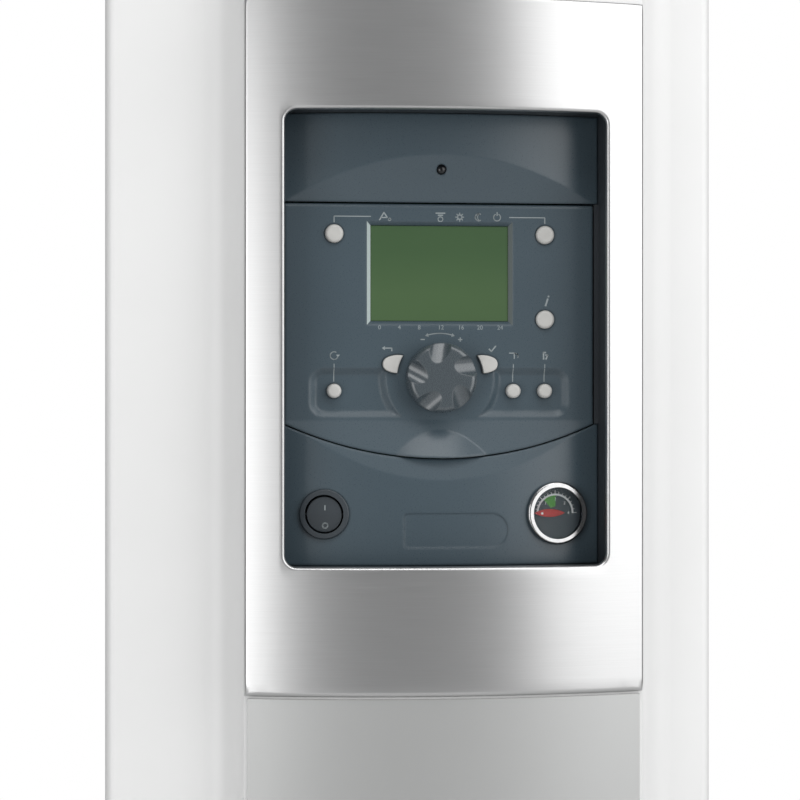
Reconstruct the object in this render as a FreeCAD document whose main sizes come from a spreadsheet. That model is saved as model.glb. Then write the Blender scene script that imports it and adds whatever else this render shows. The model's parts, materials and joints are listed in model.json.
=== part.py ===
import FreeCAD, Part
import math
import os

import Sketcher

# A wall-hung condensing combination boiler, in millimetres, +Z up.
# The wall is the plane Y = 0 and the front faces -Y. The origin lies
# midway between the two wall fixing holes.

doc = FreeCAD.newDocument("condensing_boiler")
sheet = doc.addObject("Spreadsheet::Sheet", "Sizes")

sizes = {
    # Casing of folded sheet
    "overrun": 2,
    "casing_left": 210,
    "casing_right": 175,
    "casing_height": 850,
    "casing_top": 70,
    "panel_sheet": 1.5,
    "wall_gap": 5,
    "side_flange": 18,
    # Wall bracket
    "bracket_length": 300,
    "bracket_height": 40,
    "bracket_sheet": 2.5,
    "bracket_lip": 12,
    "bracket_rise": 8,
    "fixing_spacing": 240,
    "fixing_hole_radius": 4.5,
    "slot_clearance": 1,
    # Front panel with its raised ridge
    "cover_sheet": 2,
    "cover_return": 30,
    "cover_gap": 0.5,
    "cover_corner": 6,
    "ridge_radius": 450,
    "cove_radius": 24,
    # Fascia and lower strip
    "trim_gap": 0.3,
    "fascia_top": 42,
    "fascia_side_frame": 24.8,
    "fascia_low_frame": 80,
    "fascia_thickness": 4.5,
    "fascia_edge_round": 1.5,
    "fascia_end_round": 3.5,
    "window_side_gap": 2.2,
    "window_drop": 27.5,
    "window_corner": 7,
    "window_round": 2.6,
    "strip_inset": 2,
    "strip_thickness": 1.8,
    "strip_joint": 1.5,
    "strip_margin": 20,
    # Control box behind the window
    "panel_recess": 34,
    "box_wall": 3,
    "box_reveal": 1.5,
    "box_depth": 58,
    "box_setback": 6.1,
    "box_clearance": 1,
    "box_opening_gap": 1.5,
    "ledge_depth": 6,
    "post_radius": 3,
    "post_height": 5,
    "main_board_side_gap": 12.75,
    "main_board_end_gap": 23,
    "board_sheet": 1.6,
    # Cross rails that carry the control box
    "rail_height": 24,
    "rail_depth": 14,
    "rail_sheet": 2,
    "rail_inset": 12,
    # Fixed plates above and below the flap
    "plate_clearance": 0.4,
    "plate_wall": 3,
    "upper_facet_run": 29,
    "seam_drop": 53.8,
    "lamp_rise": 20.2,
    "lamp_radius": 2.9,
    "lamp_clearance": 0.25,
    "lamp_flange": 1.5,
    "label_left": 24,
    "label_right": 42,
    "label_height": 21.5,
    "label_drop": 10.4,
    "label_depth": 0.4,
    "label_corner": 2,
    # Flap with its finger tab and troughs
    "flap_width": 196,
    "flap_height": 161.2,
    "flap_sag": 21.4,
    "flap_sheet": 5,
    "flap_gap": 0.8,
    "facet_drop": 137.3,
    "facet_run": 37.8,
    "tab_chord": 61,
    "tab_height": 17.6,
    "tab_lift": 6,
    "trough_margin": 15.5,
    "trough_drop": 104.5,
    "trough_height": 31,
    "trough_depth": 2.8,
    "trough_corner": 9,
    "trough_knob_gap": 12.6,
    "trough_slope_angle": 55,
    "hinge_pin_radius": 1.5,
    "hinge_pin_clearance": 0.05,
    "hinge_press": 0.01,
    "hinge_pin_grip": 8,
    "hinge_pin_reach": 4,
    # Display
    "display_width": 88,
    "display_height": 60.5,
    "display_drop": 44.7,
    "display_bevel": 2.2,
    "display_recess": 2.6,
    "display_clearance": 0.3,
    "display_frame": 3,
    # Keys
    "key_radius": 5.8,
    "small_key_radius": 4.5,
    "key_clearance": 0.2,
    "key_flange": 1.2,
    "key_flange_sheet": 1.2,
    "key_stand": 3,
    "key_round": 2,
    "key_rest_gap": 0.3,
    "key_column_share": 0.6847,
    "sweep_column_share": 0.4786,
    "upper_key_drop": 20.1,
    "info_key_drop": 73.7,
    "small_key_drop": 119,
    "command_key_inset": 27.5,
    "command_key_reach": 36.5,
    "command_key_top": 14.1,
    "command_key_bottom": 2.9,
    "command_key_tip": 8.7,
    "command_key_arc": 16,
    "command_key_tip_half": 4.2,
    "command_key_tip_round": 4.6,
    "command_key_round": 0.8,
    # Rotary knob and its encoder
    "knob_radius": 21.9,
    "knob_drop": 110.8,
    "knob_height": 15,
    "knob_gap": 0.6,
    "knob_round": 4,
    "knob_stem_radius": 3,
    "knob_stem_length": 14,
    "stem_clearance": 0.05,
    "bushing_radius": 5,
    "bushing_clearance": 0.3,
    "flute_radius": 8,
    "flute_inner": 3,
    "flute_side": 5.6,
    "flute_rise": 2.75,
    "flute_length": 40,
    "flute_slope_angle": 24,
    "flute_swirl_angle": 12,
    "encoder_width": 14,
    # Operator board and the back cover of the flap
    "operator_margin": 10,
    "operator_height": 126,
    "operator_drop": 7,
    "operator_wall": 2,
    "board_gap": 0.4,
    "board_stand": 8,
    # Main switch
    "dial_inset": 26.5,
    "dial_row_drop": 35,
    "dial_row_rise": 31,
    "switch_collar_radius": 15.75,
    "switch_barrel_radius": 14.6,
    "switch_bore_radius": 12.2,
    "switch_depth": 20,
    "switch_stand": 2,
    "switch_edge": 1,
    "switch_wall": 2,
    "rocker_radius": 11.4,
    "rocker_front": 3.6,
    "rocker_back": 4,
    "rocker_pivot": 3.2,
    "rocker_tilt_angle": 6,
    "trunnion_radius": 1.5,
    "trunnion_clearance": 0.05,
    "trunnion_reach": 1.6,
    "hole_clearance": 0.3,
    # Pressure gauge
    "gauge_radius": 19.85,
    "gauge_window_radius": 16.4,
    "gauge_case_radius": 18.6,
    "gauge_depth": 22,
    "gauge_wall": 1.4,
    "gauge_bezel_height": 3.4,
    "gauge_bezel_round": 1.4,
    "lens_sheet": 1.2,
    "lens_drop": 1,
    "lens_rest": 0.6,
    "lens_clearance": 0.2,
    "dial_sheet": 0.8,
    "dial_drop": 2.4,
    "needle_sheet": 0.8,
    "needle_drop": 0.8,
    "needle_length": 14.5,
    "needle_tail": 6,
    "needle_width": 5,
    "needle_hub_radius": 2,
    "needle_pin_radius": 0.8,
    "needle_pin_clearance": 0.05,
    "needle_pin_length": 5,
    # Heat exchanger, coil, burner and door
    "exchanger_drop": 150,
    "exchanger_rear": 40,
    "exchanger_radius": 115,
    "exchanger_length": 175,
    "exchanger_wall": 2,
    "exchanger_flange": 7,
    "exchanger_flange_sheet": 3,
    "bracket_tube_width": 140,
    "bracket_tube_height": 100,
    "bracket_tube_wall": 2,
    "coil_outer_radius": 102,
    "coil_inner_radius": 84,
    "coil_turn_radius": 16,
    "coil_gap": 0.5,
    "coil_length": 166,
    "door_sheet": 12,
    "door_boss_radius": 78,
    "door_boss_depth": 14,
    "door_port_radius": 22,
    "burner_radius": 36,
    "burner_wall": 1.5,
    "burner_length": 110,
    "burner_flange": 12,
    "nozzle_setback": 100,
    "nozzle_wall": 2.2,
    "nozzle_height": 132,
    "nozzle_clearance": 0.3,
    "nozzle_engagement": 20,
    "sump_setback": 20,
    "sump_radius": 13,
    "sump_bore": 9,
    "sump_depth": 13,
    "port_radius": 13,
    "port_depth": 22,
    # Fan, mixing duct and gas valve
    "fan_column": 150,
    "fan_drop": 140,
    "fan_depth": 48,
    "fan_radius": 56,
    "fan_wall": 3,
    "fan_inlet_radius": 24,
    "fan_motor_hole": 18,
    "fan_outlet_low": 18,
    "fan_outlet_reach": 62,
    "fan_motor_radius": 25,
    "fan_motor_length": 42,
    "fan_motor_round": 6,
    "fan_boss_clearance": 0.5,
    "fan_shaft_radius": 4,
    "fan_shaft_clearance": 0.05,
    "fan_shaft_length": 28,
    "impeller_radius": 46,
    "impeller_sheet": 2,
    "impeller_gap": 3,
    "impeller_hub_radius": 12,
    "blade_height": 30,
    "blade_sheet": 1.6,
    "blade_inner": 24,
    "blade_sweep": 12,
    "blade_margin": 5,
    "duct_height": 92,
    "duct_reach": 40,
    "duct_neck": 11,
    "duct_wall": 3,
    "duct_round": 6,
    "valve_width": 40,
    "valve_depth": 98,
    "valve_height": 78,
    "valve_round": 4,
    "solenoid_radius": 16,
    "solenoid_length": 22,
    # Flue
    "flue_radius": 30,
    "flue_wall": 1.5,
    "flue_socket_clearance": 0.2,
    "flue_socket_depth": 50,
    "flue_socket_taper": 6,
    "flue_stand": 70,
    "air_spigot_radius": 50,
    "air_spigot_wall": 2,
    "air_spigot_height": 60,
    "collar_step": 1,
    "collar_clearance": 0.3,
    "seat_rim_width": 16,
    "seat_rim_height": 2,
    # Water side
    "stub_setback": 150,
    "stub_pitch": 70,
    "stub_length": 40,
    "stub_gap": 1,
    "stub_large_radius": 13.2,
    "stub_small_radius": 10.4,
    "stub_bore": 7.5,
    "stub_bore_depth": 45,
    "pipe_radius": 9,
    "pipe_bend": 24,
    "pipe_jog_drop": 330,
    "pipe_hole_clearance": 1,
    "vessel_radius": 150,
    "vessel_depth": 85,
    "vessel_drop": 65,
    "vessel_round": 22,
    "vessel_rim": 5,
    "vessel_rim_sheet": 4,
    "plate_pack_right": 95,
    "plate_pack_length": 120,
    "plate_pack_depth": 60,
    "plate_pack_height": 80,
    "plate_pack_base": 80,
    "plate_pack_round": 12,
    "pump_rise": 140,
    "pump_radius": 40,
    "pump_depth": 60,
    "pump_wall": 7,
    "pump_motor_radius": 38,
    "pump_motor_length": 85,
    "pump_motor_round": 6,
    "pump_neck_rise": 14,
    "pump_impeller_radius": 30,
    "pump_impeller_sheet": 14,
    "pump_impeller_gap": 4,
    "pump_shaft_radius": 4,
    "pump_shaft_clearance": 0.05,
    "pump_shaft_length": 40,
    "trap_radius": 32,
    "trap_rise": 220,
    "trap_height": 130,
    "trap_neck_radius": 12,
    "trap_tail_radius": 10,
    "trap_tube_radius": 8,
    "trap_round": 8,
    "trap_tail_length": 30,
}

for row, (alias, value) in enumerate(sizes.items(), 1):
    sheet.set(f"A{row}", alias)
    sheet.set(f"B{row}", str(value))
    sheet.setAlias(f"B{row}", alias)
doc.recompute()


class Size:
    """A size from the sheet, or one worked out from such sizes, with the expression that binds it."""

    def __init__(self, value, text):
        self.value = value
        self.text = text

    def __add__(self, other):
        other = as_size(other)
        return Size(self.value + other.value, f"({self.text} + {other.text})")

    def __sub__(self, other):
        other = as_size(other)
        return Size(self.value - other.value, f"({self.text} - {other.text})")

    def __mul__(self, other):
        other = as_size(other)
        return Size(self.value * other.value, f"({self.text} * {other.text})")

    def __truediv__(self, other):
        other = as_size(other)
        return Size(self.value / other.value, f"({self.text} / {other.text})")

    def __neg__(self):
        return Size(-self.value, f"(0 - {self.text})")

    __radd__ = __add__
    __rmul__ = __mul__

    def __rsub__(self, other):
        return as_size(other) - self


def as_size(number):
    return number if isinstance(number, Size) else Size(float(number), repr(float(number)))


def root(square):
    return Size(math.sqrt(square.value), f"sqrt({square.text})")


def arc_sine(ratio):
    return Size(math.degrees(math.asin(ratio.value)), f"asin({ratio.text})")


class Sheet:
    """Gives every size of the sheet by its alias."""

    def __getattr__(self, alias):
        return Size(float(sheet.get(alias)), f"Sizes.{alias}")


s = Sheet()
zero = as_size(0)


def place(item, at, turn=None):
    """Puts an object at a point given in sizes, turned by a rotation or by an axis and an angle."""
    rotation = FreeCAD.Rotation()
    if turn is not None:
        axis, angle = turn
        rotation = FreeCAD.Rotation(FreeCAD.Vector(*axis), angle.value)
    base = FreeCAD.Vector(*(as_size(c).value for c in at))
    item.Placement = FreeCAD.Placement(base, rotation)
    for name, coordinate in zip("xyz", at):
        item.setExpression(f"Placement.Base.{name}", as_size(coordinate).text)
    if turn is not None and angle.text.startswith(("asin", "Sizes")):
        item.setExpression("Placement.Rotation.Angle", angle.text)
    return item


def new_body(label):
    body = doc.addObject("PartDesign::Body", label)
    body.Label = label
    return body


def origin_feature(body, role):
    return next(f for f in body.Origin.OriginFeatures if f.Role == role)


def pin_point(sketch, edge, end, x, y):
    """Holds one end of a sketch edge at its two coordinates."""
    for kind, coordinate in (("DistanceX", x), ("DistanceY", y)):
        coordinate = as_size(coordinate)
        rule = Sketcher.Constraint(kind, -1, 1, edge, end, coordinate.value)
        index = sketch.addConstraint(rule)
        sketch.setExpression(f"Constraints[{index}]", coordinate.text)


def hold_radius(sketch, edge, radius):
    index = sketch.addConstraint(Sketcher.Constraint("Radius", edge, radius.value))
    sketch.setExpression(f"Constraints[{index}]", radius.text)


def arc_between(start, end, radius, left):
    """The short arc from start to end, turning left or right, drawn counter-clockwise."""
    chord = end - start
    height = math.sqrt(max(radius * radius - chord.Length**2 / 4, 0))
    across = FreeCAD.Vector(-chord.y, chord.x, 0).normalize()
    centre = (start + end) / 2 + across * (height if left else -height)
    first, last = (start, end) if left else (end, start)
    angles = [math.atan2(p.y - centre.y, p.x - centre.x) for p in (first, last)]
    circle = Part.Circle(centre, FreeCAD.Vector(0, 0, 1), radius)
    return Part.ArcOfCircle(circle, angles[0], angles[1])


def draw_path(sketch, points, closed=True):
    """Draws a path of lines and arcs. A point is (x, y), or (x, y, radius, "left" or "right")
    where an arc turning that way arrives at it."""
    spots = [FreeCAD.Vector(as_size(p[0]).value, as_size(p[1]).value, 0) for p in points]
    ends = []
    first = sketch.GeometryCount
    steps = range(len(points)) if closed else range(1, len(points))
    for i in steps:
        if len(points[i]) == 2:
            edge = sketch.addGeometry(Part.LineSegment(spots[i - 1], spots[i]), False)
            ends.append((edge, 1, 2))
            continue
        radius, side = as_size(points[i][2]), points[i][3]
        arc = arc_between(spots[i - 1], spots[i], radius.value, side == "left")
        edge = sketch.addGeometry(arc, False)
        ends.append((edge, 1, 2) if side == "left" else (edge, 2, 1))
    for one, following in zip(ends, ends[1:] + ends[:1] if closed else ends[1:]):
        rule = Sketcher.Constraint("Coincident", one[0], one[2], following[0], following[1])
        sketch.addConstraint(rule)
    for i, (edge, _, tail) in zip(steps, ends):
        pin_point(sketch, edge, tail, points[i][0], points[i][1])
        if len(points[i]) > 2:
            hold_radius(sketch, edge, as_size(points[i][2]))
    if not closed:
        pin_point(sketch, ends[0][0], ends[0][1], points[0][0], points[0][1])
    return first


def new_sketch(body, plane, offset, paths=(), circles=()):
    sketch = body.newObject("Sketcher::SketchObject", "Sketch")
    sketch.AttachmentSupport = [(origin_feature(body, plane), "")]
    sketch.MapMode = "FlatFace"
    sketch.setExpression("AttachmentOffset.Base.z", as_size(offset).text)
    for path in paths:
        draw_path(sketch, path)
    for x, y, radius in circles:
        spot = FreeCAD.Vector(as_size(x).value, as_size(y).value, 0)
        circle = Part.Circle(spot, FreeCAD.Vector(0, 0, 1), as_size(radius).value)
        edge = sketch.addGeometry(circle, False)
        pin_point(sketch, edge, 3, x, y)
        hold_radius(sketch, edge, as_size(radius))
    return sketch


PLANES = {"x": "YZ_Plane", "y": "XZ_Plane", "z": "XY_Plane"}


def prism(body, along, start, end, paths=(), circles=(), remove=False, slope=None):
    """Adds or removes a prism between two places along X, Y or Z."""
    start, end = as_size(start), as_size(end)
    if along == "y":
        start, end = -start, -end
    forward = end.value > start.value
    sketch = new_sketch(body, PLANES[along], start, paths, circles)
    kind = "PartDesign::Pocket" if remove else "PartDesign::Pad"
    feature = body.newObject(kind, "Cut" if remove else "Wall")
    feature.Profile = sketch
    feature.Reversed = forward if remove else not forward
    length = end - start if forward else start - end
    feature.setExpression("Length", length.text)
    if slope is not None:
        feature.setExpression("TaperAngle", slope.text)
    return feature


def turned(label, points, at=None, tilt=None, upright=False):
    """A body of revolution. Points are (radius, place along Y), or along Z when upright."""
    body = new_body(label)
    sketch = new_sketch(body, "XZ_Plane" if upright else "XY_Plane", zero, [points])
    feature = body.newObject("PartDesign::Revolution", "Turned")
    feature.Profile = sketch
    feature.ReferenceAxis = (sketch, ["V_Axis"])
    feature.Angle = 360
    if at is not None:
        place(body, at, tilt)
    return body


def soften(body, radius, chosen):
    """Rounds the edges of the body for which chosen says yes to the point halfway along them."""
    doc.recompute()
    tip = body.Tip
    names = []
    for number, edge in enumerate(tip.Shape.Edges, 1):
        middle = edge.valueAt((edge.FirstParameter + edge.LastParameter) / 2)
        if chosen(middle):
            names.append(f"Edge{number}")
    feature = body.newObject("PartDesign::Fillet", "Round")
    feature.Base = (tip, names)
    feature.setExpression("Radius", radius.text)
    return feature


def near(a, b):
    """Two places that agree within a twentieth of a millimetre."""
    reading_share = 0.05
    return abs(a - b) < reading_share


def rectangle(x0, x1, y0, y1):
    return [(x0, y0), (x1, y0), (x1, y1), (x0, y1)]


def round_rectangle(x0, x1, y0, y1, r):
    return [
        (x1 - r, y0),
        (x1, y0 + r, r, "left"),
        (x1, y1 - r),
        (x1 - r, y1, r, "left"),
        (x0 + r, y1),
        (x0, y1 - r, r, "left"),
        (x0, y0 + r),
        (x0 + r, y0, r, "left"),
    ]


def block(x0, x1, y0, y1, z0, z1):
    item = doc.addObject("Part::Box", "Block")
    for name, low, high in (("Length", x0, x1), ("Width", y0, y1), ("Height", z0, z1)):
        item.setExpression(name, (as_size(high) - low).text)
    return place(item, (x0, y0, z0))


TURNS = {"x": ((0, 1, 0), 90), "y": ((1, 0, 0), 90), "z": None}


def rod(radius, along, at, length):
    """A cylinder that starts at a point and runs along +X, -Y or +Z."""
    item = doc.addObject("Part::Cylinder", "Rod")
    item.setExpression("Radius", as_size(radius).text)
    item.setExpression("Height", as_size(length).text)
    turn = TURNS[along]
    return place(item, at, turn and (turn[0], as_size(turn[1])))


def joined(label, *items):
    item = doc.addObject("Part::MultiFuse", label)
    item.Shapes = list(items)
    item.Refine = True
    return item


def without(label, base, *tools):
    item = doc.addObject("Part::Cut", label)
    item.Base = base
    item.Tool = tools[0] if len(tools) == 1 else joined("Tools", *tools)
    item.Refine = True
    return item


def shared(label, *items):
    item = doc.addObject("Part::MultiCommon", label)
    item.Shapes = list(items)
    item.Refine = True
    return item


nodes = {}


def keep(label, item):
    """Names an object as one of the finished pieces."""
    item.Label = label
    nodes[label] = item
    return item


# Places that several pieces share
x_left = -s.casing_left
x_right = s.casing_right
z_top = s.casing_top
z_bottom = s.casing_top - s.casing_height
inner_left = x_left + s.panel_sheet
inner_right = x_right - s.panel_sheet

# From the wall to the front: back panel, exchanger, door, fan, control box, window
y_back = -s.wall_gap - s.panel_sheet
y_exchanger = -s.exchanger_rear
y_flange = y_exchanger - s.exchanger_length
y_sump = y_flange + s.sump_setback
y_door = y_flange - s.door_sheet
y_fan_rear = y_door - s.duct_neck
y_fan_front = y_fan_rear - s.fan_depth
y_box_rear = y_fan_front - s.box_setback
y_panel = y_box_rear - s.box_depth
y_rim = y_panel - s.panel_recess

# From the flap outwards: window, fascia and ridge, which are parts of circles about one axis
flap_half = s.flap_width / 2
window_half = flap_half + s.window_side_gap
ridge_half = window_half + s.fascia_side_frame
trim_inside = s.ridge_radius + s.trim_gap
fascia_outside = trim_inside + s.fascia_thickness
y_axis = y_rim + root(fascia_outside * fascia_outside - window_half * window_half)


def y_on(radius, x):
    """Where the circle of that radius about the ridge's axis lies at x."""
    return y_axis - root(radius * radius - x * x)


y_ridge_edge = y_on(s.ridge_radius, ridge_half)
y_flat = y_ridge_edge + s.cove_radius
y_cover_rear = y_flat + s.cover_return
y_case_front = y_cover_rear + s.cover_gap

# From the top of the window down: seam, flap, row of dials, window and fascia ends
z_window_top = -s.window_drop
z_seam = z_window_top - s.seam_drop
z_flap_low = z_seam - s.flap_height
z_dials = z_flap_low - s.dial_row_drop
z_window_low = z_dials - s.dial_row_rise
z_fascia_low = z_window_low - s.fascia_low_frame

# Wall bracket: a folded strip screwed to the wall, whose upturned lip carries the boiler
bracket = new_body("wall_bracket")
lip_top = s.bracket_height / 2
lip_profile = [
    (zero, -lip_top),
    (zero, lip_top),
    (s.bracket_sheet - s.bracket_lip, lip_top),
    (s.bracket_sheet - s.bracket_lip, lip_top + s.bracket_rise),
    (-s.bracket_lip, lip_top + s.bracket_rise),
    (-s.bracket_lip, lip_top - s.bracket_sheet),
    (-s.bracket_sheet, lip_top - s.bracket_sheet),
    (-s.bracket_sheet, -lip_top),
]
prism(bracket, "x", -s.bracket_length / 2, s.bracket_length / 2, [lip_profile])
fixing_holes = [
    (side * s.fixing_spacing / 2, zero, s.fixing_hole_radius) for side in (-1, 1)
]
prism(
    bracket, "y", s.overrun, -s.bracket_sheet - s.overrun, circles=fixing_holes, remove=True
)
keep("wall_bracket", bracket)

# Back panel: flat sheet that hangs with its slot on the bracket's lip
back = new_body("back_panel")
prism(back, "y", -s.wall_gap, y_back, [rectangle(inner_left, inner_right, z_bottom, z_top)])
slot_half = s.bracket_length / 2 + s.slot_clearance
slot = rectangle(
    -slot_half, slot_half, lip_top - s.bracket_sheet - s.slot_clearance, lip_top
)
prism(back, "y", -s.wall_gap + s.overrun, y_back - s.overrun, [slot], remove=True)
keep("back_panel", back)


def side_panel(label, side):
    """A side of the casing: one sheet with a flange folded in at the front and at the back."""
    body = new_body(label)
    outer = x_left if side < 0 else x_right
    inner = outer - side * s.panel_sheet
    flange = outer - side * s.side_flange
    profile = [
        (outer, zero),
        (outer, y_case_front),
        (flange, y_case_front),
        (flange, y_case_front + s.panel_sheet),
        (inner, y_case_front + s.panel_sheet),
        (inner, -s.wall_gap),
        (flange, -s.wall_gap),
        (flange, -s.wall_gap + s.panel_sheet),
        (inner, -s.wall_gap + s.panel_sheet),
        (inner, zero),
    ]
    prism(body, "z", z_bottom, z_top, [profile])
    return keep(label, body)


side_panel("left_side_panel", -1)
side_panel("right_side_panel", 1)

# Top panel: sheet between the sides, with a raised rim round the opening for flue and air
y_panel_front = y_case_front + s.panel_sheet
flue_spot = (zero, -s.nozzle_setback)
top = new_body("top_panel")
lid = rectangle(inner_left, inner_right, y_panel_front, y_back)
prism(top, "z", z_top - s.panel_sheet, z_top, [lid])
spigot_foot = s.air_spigot_radius - s.collar_step
air_hole = spigot_foot + s.collar_clearance
seat_rim = air_hole + s.seat_rim_width
z_seat = z_top + s.seat_rim_height
prism(top, "z", z_top - s.panel_sheet, z_seat, circles=[(*flue_spot, seat_rim)])
prism(
    top,
    "z",
    z_top - s.panel_sheet - s.overrun,
    z_seat + s.overrun,
    circles=[(*flue_spot, air_hole)],
    remove=True,
)
keep("top_panel", top)

# Bottom panel: sheet with a hole for each pipe and for the condensate drain
stub_columns = {
    "gas": -2 * s.stub_pitch,
    "return": -s.stub_pitch,
    "cold": zero,
    "hot": s.stub_pitch,
    "flow": 2 * s.stub_pitch,
}
stub_radii = {
    "flow": s.stub_large_radius,
    "hot": s.stub_small_radius,
    "cold": s.stub_small_radius,
    "return": s.stub_large_radius,
    "gas": s.stub_large_radius,
}
bottom = new_body("bottom_panel")
floor = rectangle(inner_left, inner_right, y_panel_front, y_back)
prism(bottom, "z", z_bottom, z_bottom + s.panel_sheet, [floor])
pipe_holes = [
    (stub_columns[name], -s.stub_setback, stub_radii[name] + s.pipe_hole_clearance)
    for name in stub_columns
]
pipe_holes.append((zero, y_sump, s.trap_tail_radius + s.pipe_hole_clearance))
prism(
    bottom,
    "z",
    z_bottom - s.overrun,
    z_bottom + s.panel_sheet + s.overrun,
    circles=pipe_holes,
    remove=True,
)
keep("bottom_panel", bottom)

# Front panel: a lift-off cover with rounded sides, a cove each side of the raised ridge, and closed ends
front = new_body("front_panel")
cove_start = ridge_half + s.cove_radius
outer_path = [
    (x_right, y_cover_rear),
    (x_right, y_flat + s.cover_corner),
    (x_right - s.cover_corner, y_flat, s.cover_corner, "right"),
    (cove_start, y_flat),
    (ridge_half, y_ridge_edge, s.cove_radius, "left"),
    (-ridge_half, y_ridge_edge, s.ridge_radius, "right"),
    (-cove_start, y_flat, s.cove_radius, "left"),
    (x_left + s.cover_corner, y_flat),
    (x_left, y_flat + s.cover_corner, s.cover_corner, "right"),
    (x_left, y_cover_rear),
]
y_inside = y_flat + s.cover_sheet
ridge_inside = s.ridge_radius - s.cover_sheet
cove_inside = s.cove_radius + s.cover_sheet
y_ridge_inside = y_on(ridge_inside, ridge_half - s.cover_sheet)
cove_drop = y_ridge_inside - y_ridge_edge
x_ridge_inside = cove_start - root(cove_inside * cove_inside - cove_drop * cove_drop)
corner_inside = s.cover_corner - s.cover_sheet
inner_path = [
    (x_left + s.cover_sheet, y_cover_rear),
    (x_left + s.cover_sheet, y_flat + s.cover_corner),
    (x_left + s.cover_corner, y_inside, corner_inside, "left"),
    (-cove_start, y_inside),
    (-x_ridge_inside, y_ridge_inside, cove_inside, "right"),
    (x_ridge_inside, y_ridge_inside, ridge_inside, "left"),
    (cove_start, y_inside, cove_inside, "right"),
    (x_right - s.cover_corner, y_inside),
    (x_right - s.cover_sheet, y_flat + s.cover_corner, corner_inside, "left"),
    (x_right - s.cover_sheet, y_cover_rear),
]
prism(front, "z", z_bottom, z_top, [outer_path + inner_path])
prism(front, "z", z_bottom, z_bottom + s.cover_sheet, [outer_path])
prism(front, "z", z_top - s.cover_sheet, z_top, [outer_path])

# Window, and the control box that stands behind it
box_inner_half = window_half + s.box_reveal
box_half = box_inner_half + s.box_wall
z_box_top = z_window_top + s.box_reveal + s.box_wall
z_box_low = z_window_low - s.box_reveal - s.box_wall
gap = s.box_opening_gap
box_opening = rectangle(-box_half - gap, box_half + gap, z_box_low - gap, z_box_top + gap)
y_front_most = y_axis - s.ridge_radius - s.fascia_thickness - s.overrun
prism(front, "y", y_inside, y_front_most, [box_opening], remove=True)
keep("front_panel", front)


def strip_profile(half, inside, outside):
    return [
        (half, y_on(outside, half)),
        (-half, y_on(outside, half), outside, "right"),
        (-half, y_on(inside, half)),
        (half, y_on(inside, half), inside, "left"),
    ]


# Fascia: convex aluminium extrusion on the upper ridge, its window and ends rounded over
fascia = new_body("fascia")
prism(
    fascia,
    "z",
    z_fascia_low,
    s.fascia_top,
    [strip_profile(ridge_half, trim_inside, fascia_outside)],
)
window = round_rectangle(
    -window_half, window_half, z_window_low, z_window_top, s.window_corner
)
prism(fascia, "y", y_flat, y_front_most, [window], remove=True)


def on_fascia_front(p):
    return near(math.hypot(p.x, p.y - y_axis.value), fascia_outside.value)


def at_window(p):
    beside = abs(p.x) < ridge_half.value - s.window_corner.value
    between = z_fascia_low.value < p.z - s.overrun.value
    return on_fascia_front(p) and beside and between and p.z < s.fascia_top.value - s.overrun.value


def at_low_end(p):
    return on_fascia_front(p) and near(p.z, z_fascia_low.value)


def at_sides_or_top(p):
    at_side = near(abs(p.x), ridge_half.value)
    return on_fascia_front(p) and (at_side or near(p.z, s.fascia_top.value))


soften(fascia, s.window_round, at_window)
soften(fascia, s.fascia_end_round, at_low_end)
soften(fascia, s.fascia_edge_round, at_sides_or_top)
keep("fascia", fascia)

# Lower strip: thinner satin trim that goes on below the fascia
strip = new_body("lower_strip")
strip_inner_half = ridge_half - s.strip_inset
strip_shape = strip_profile(strip_inner_half, trim_inside, trim_inside + s.strip_thickness)
prism(strip, "z", z_bottom + s.strip_margin, z_fascia_low - s.strip_joint, [strip_shape])
keep("lower_strip", strip)

# Control panel levels: the flap is flat, the plates above and below it are convex
panel_depth = y_axis - y_panel
panel_radius = root(panel_depth * panel_depth + flap_half * flap_half)
panel_crown = panel_radius - panel_depth
z_flap_top = z_seam - s.flap_gap
y_flap_rear = y_panel + s.flap_sheet
z_hinge = z_flap_top - s.flap_sheet / 2
y_hinge = y_panel + s.flap_sheet / 2
z_facet = z_seam - s.facet_drop
flap_arc = (flap_half * flap_half + s.flap_sag * s.flap_sag) / (2 * s.flap_sag)
z_arc_centre = z_flap_low + flap_arc
z_arc_end = z_flap_low + s.flap_sag

# Control box: deep moulded tray, its rim cut to the fascia's curve, with ledges beside the flap
y_box_floor = y_box_rear - s.box_wall
rim_radius = trim_inside - s.box_clearance
box_shell = new_body("box_shell")
tray = [
    (-box_half, y_box_rear),
    (-box_half, y_on(rim_radius, box_half)),
    (box_half, y_on(rim_radius, box_half), rim_radius, "left"),
    (box_half, y_box_rear),
]
prism(box_shell, "z", z_box_low, z_box_top, [tray])
hollow = rectangle(
    -box_inner_half,
    box_inner_half,
    z_box_low + s.box_wall,
    z_box_top - s.box_wall,
)
prism(box_shell, "y", y_box_floor, y_front_most, [hollow], remove=True)
ledge_inner = flap_half + s.flap_gap
pin_hole = s.hinge_pin_radius + s.hinge_pin_clearance
ledges = [
    block(
        low,
        high,
        y_panel,
        y_panel + s.ledge_depth,
        z_arc_end,
        z_seam - s.plate_clearance,
    )
    for low, high in (
        (-box_inner_half - s.box_wall / 2, -ledge_inner),
        (ledge_inner, box_inner_half + s.box_wall / 2),
    )
]
half_board = box_inner_half - s.main_board_side_gap
post_x = half_board - 2 * s.post_radius
z_board_middle = (z_box_low + z_box_top) / 2
board_rise = (z_box_top - z_box_low) / 2 - s.box_wall - s.main_board_end_gap
post_z = board_rise - 2 * s.post_radius
posts = [
    rod(
        s.post_radius,
        "y",
        (side * post_x, y_box_floor, z_board_middle + level * post_z),
        s.post_height,
    )
    for side in (-1, 1)
    for level in (-1, 1)
]
pin_bore = rod(pin_hole, "x", (-box_half - s.overrun, y_hinge, z_hinge), 2 * (box_half + s.overrun))
box_solid = joined("box_solid", box_shell, *ledges, *posts)
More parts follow.
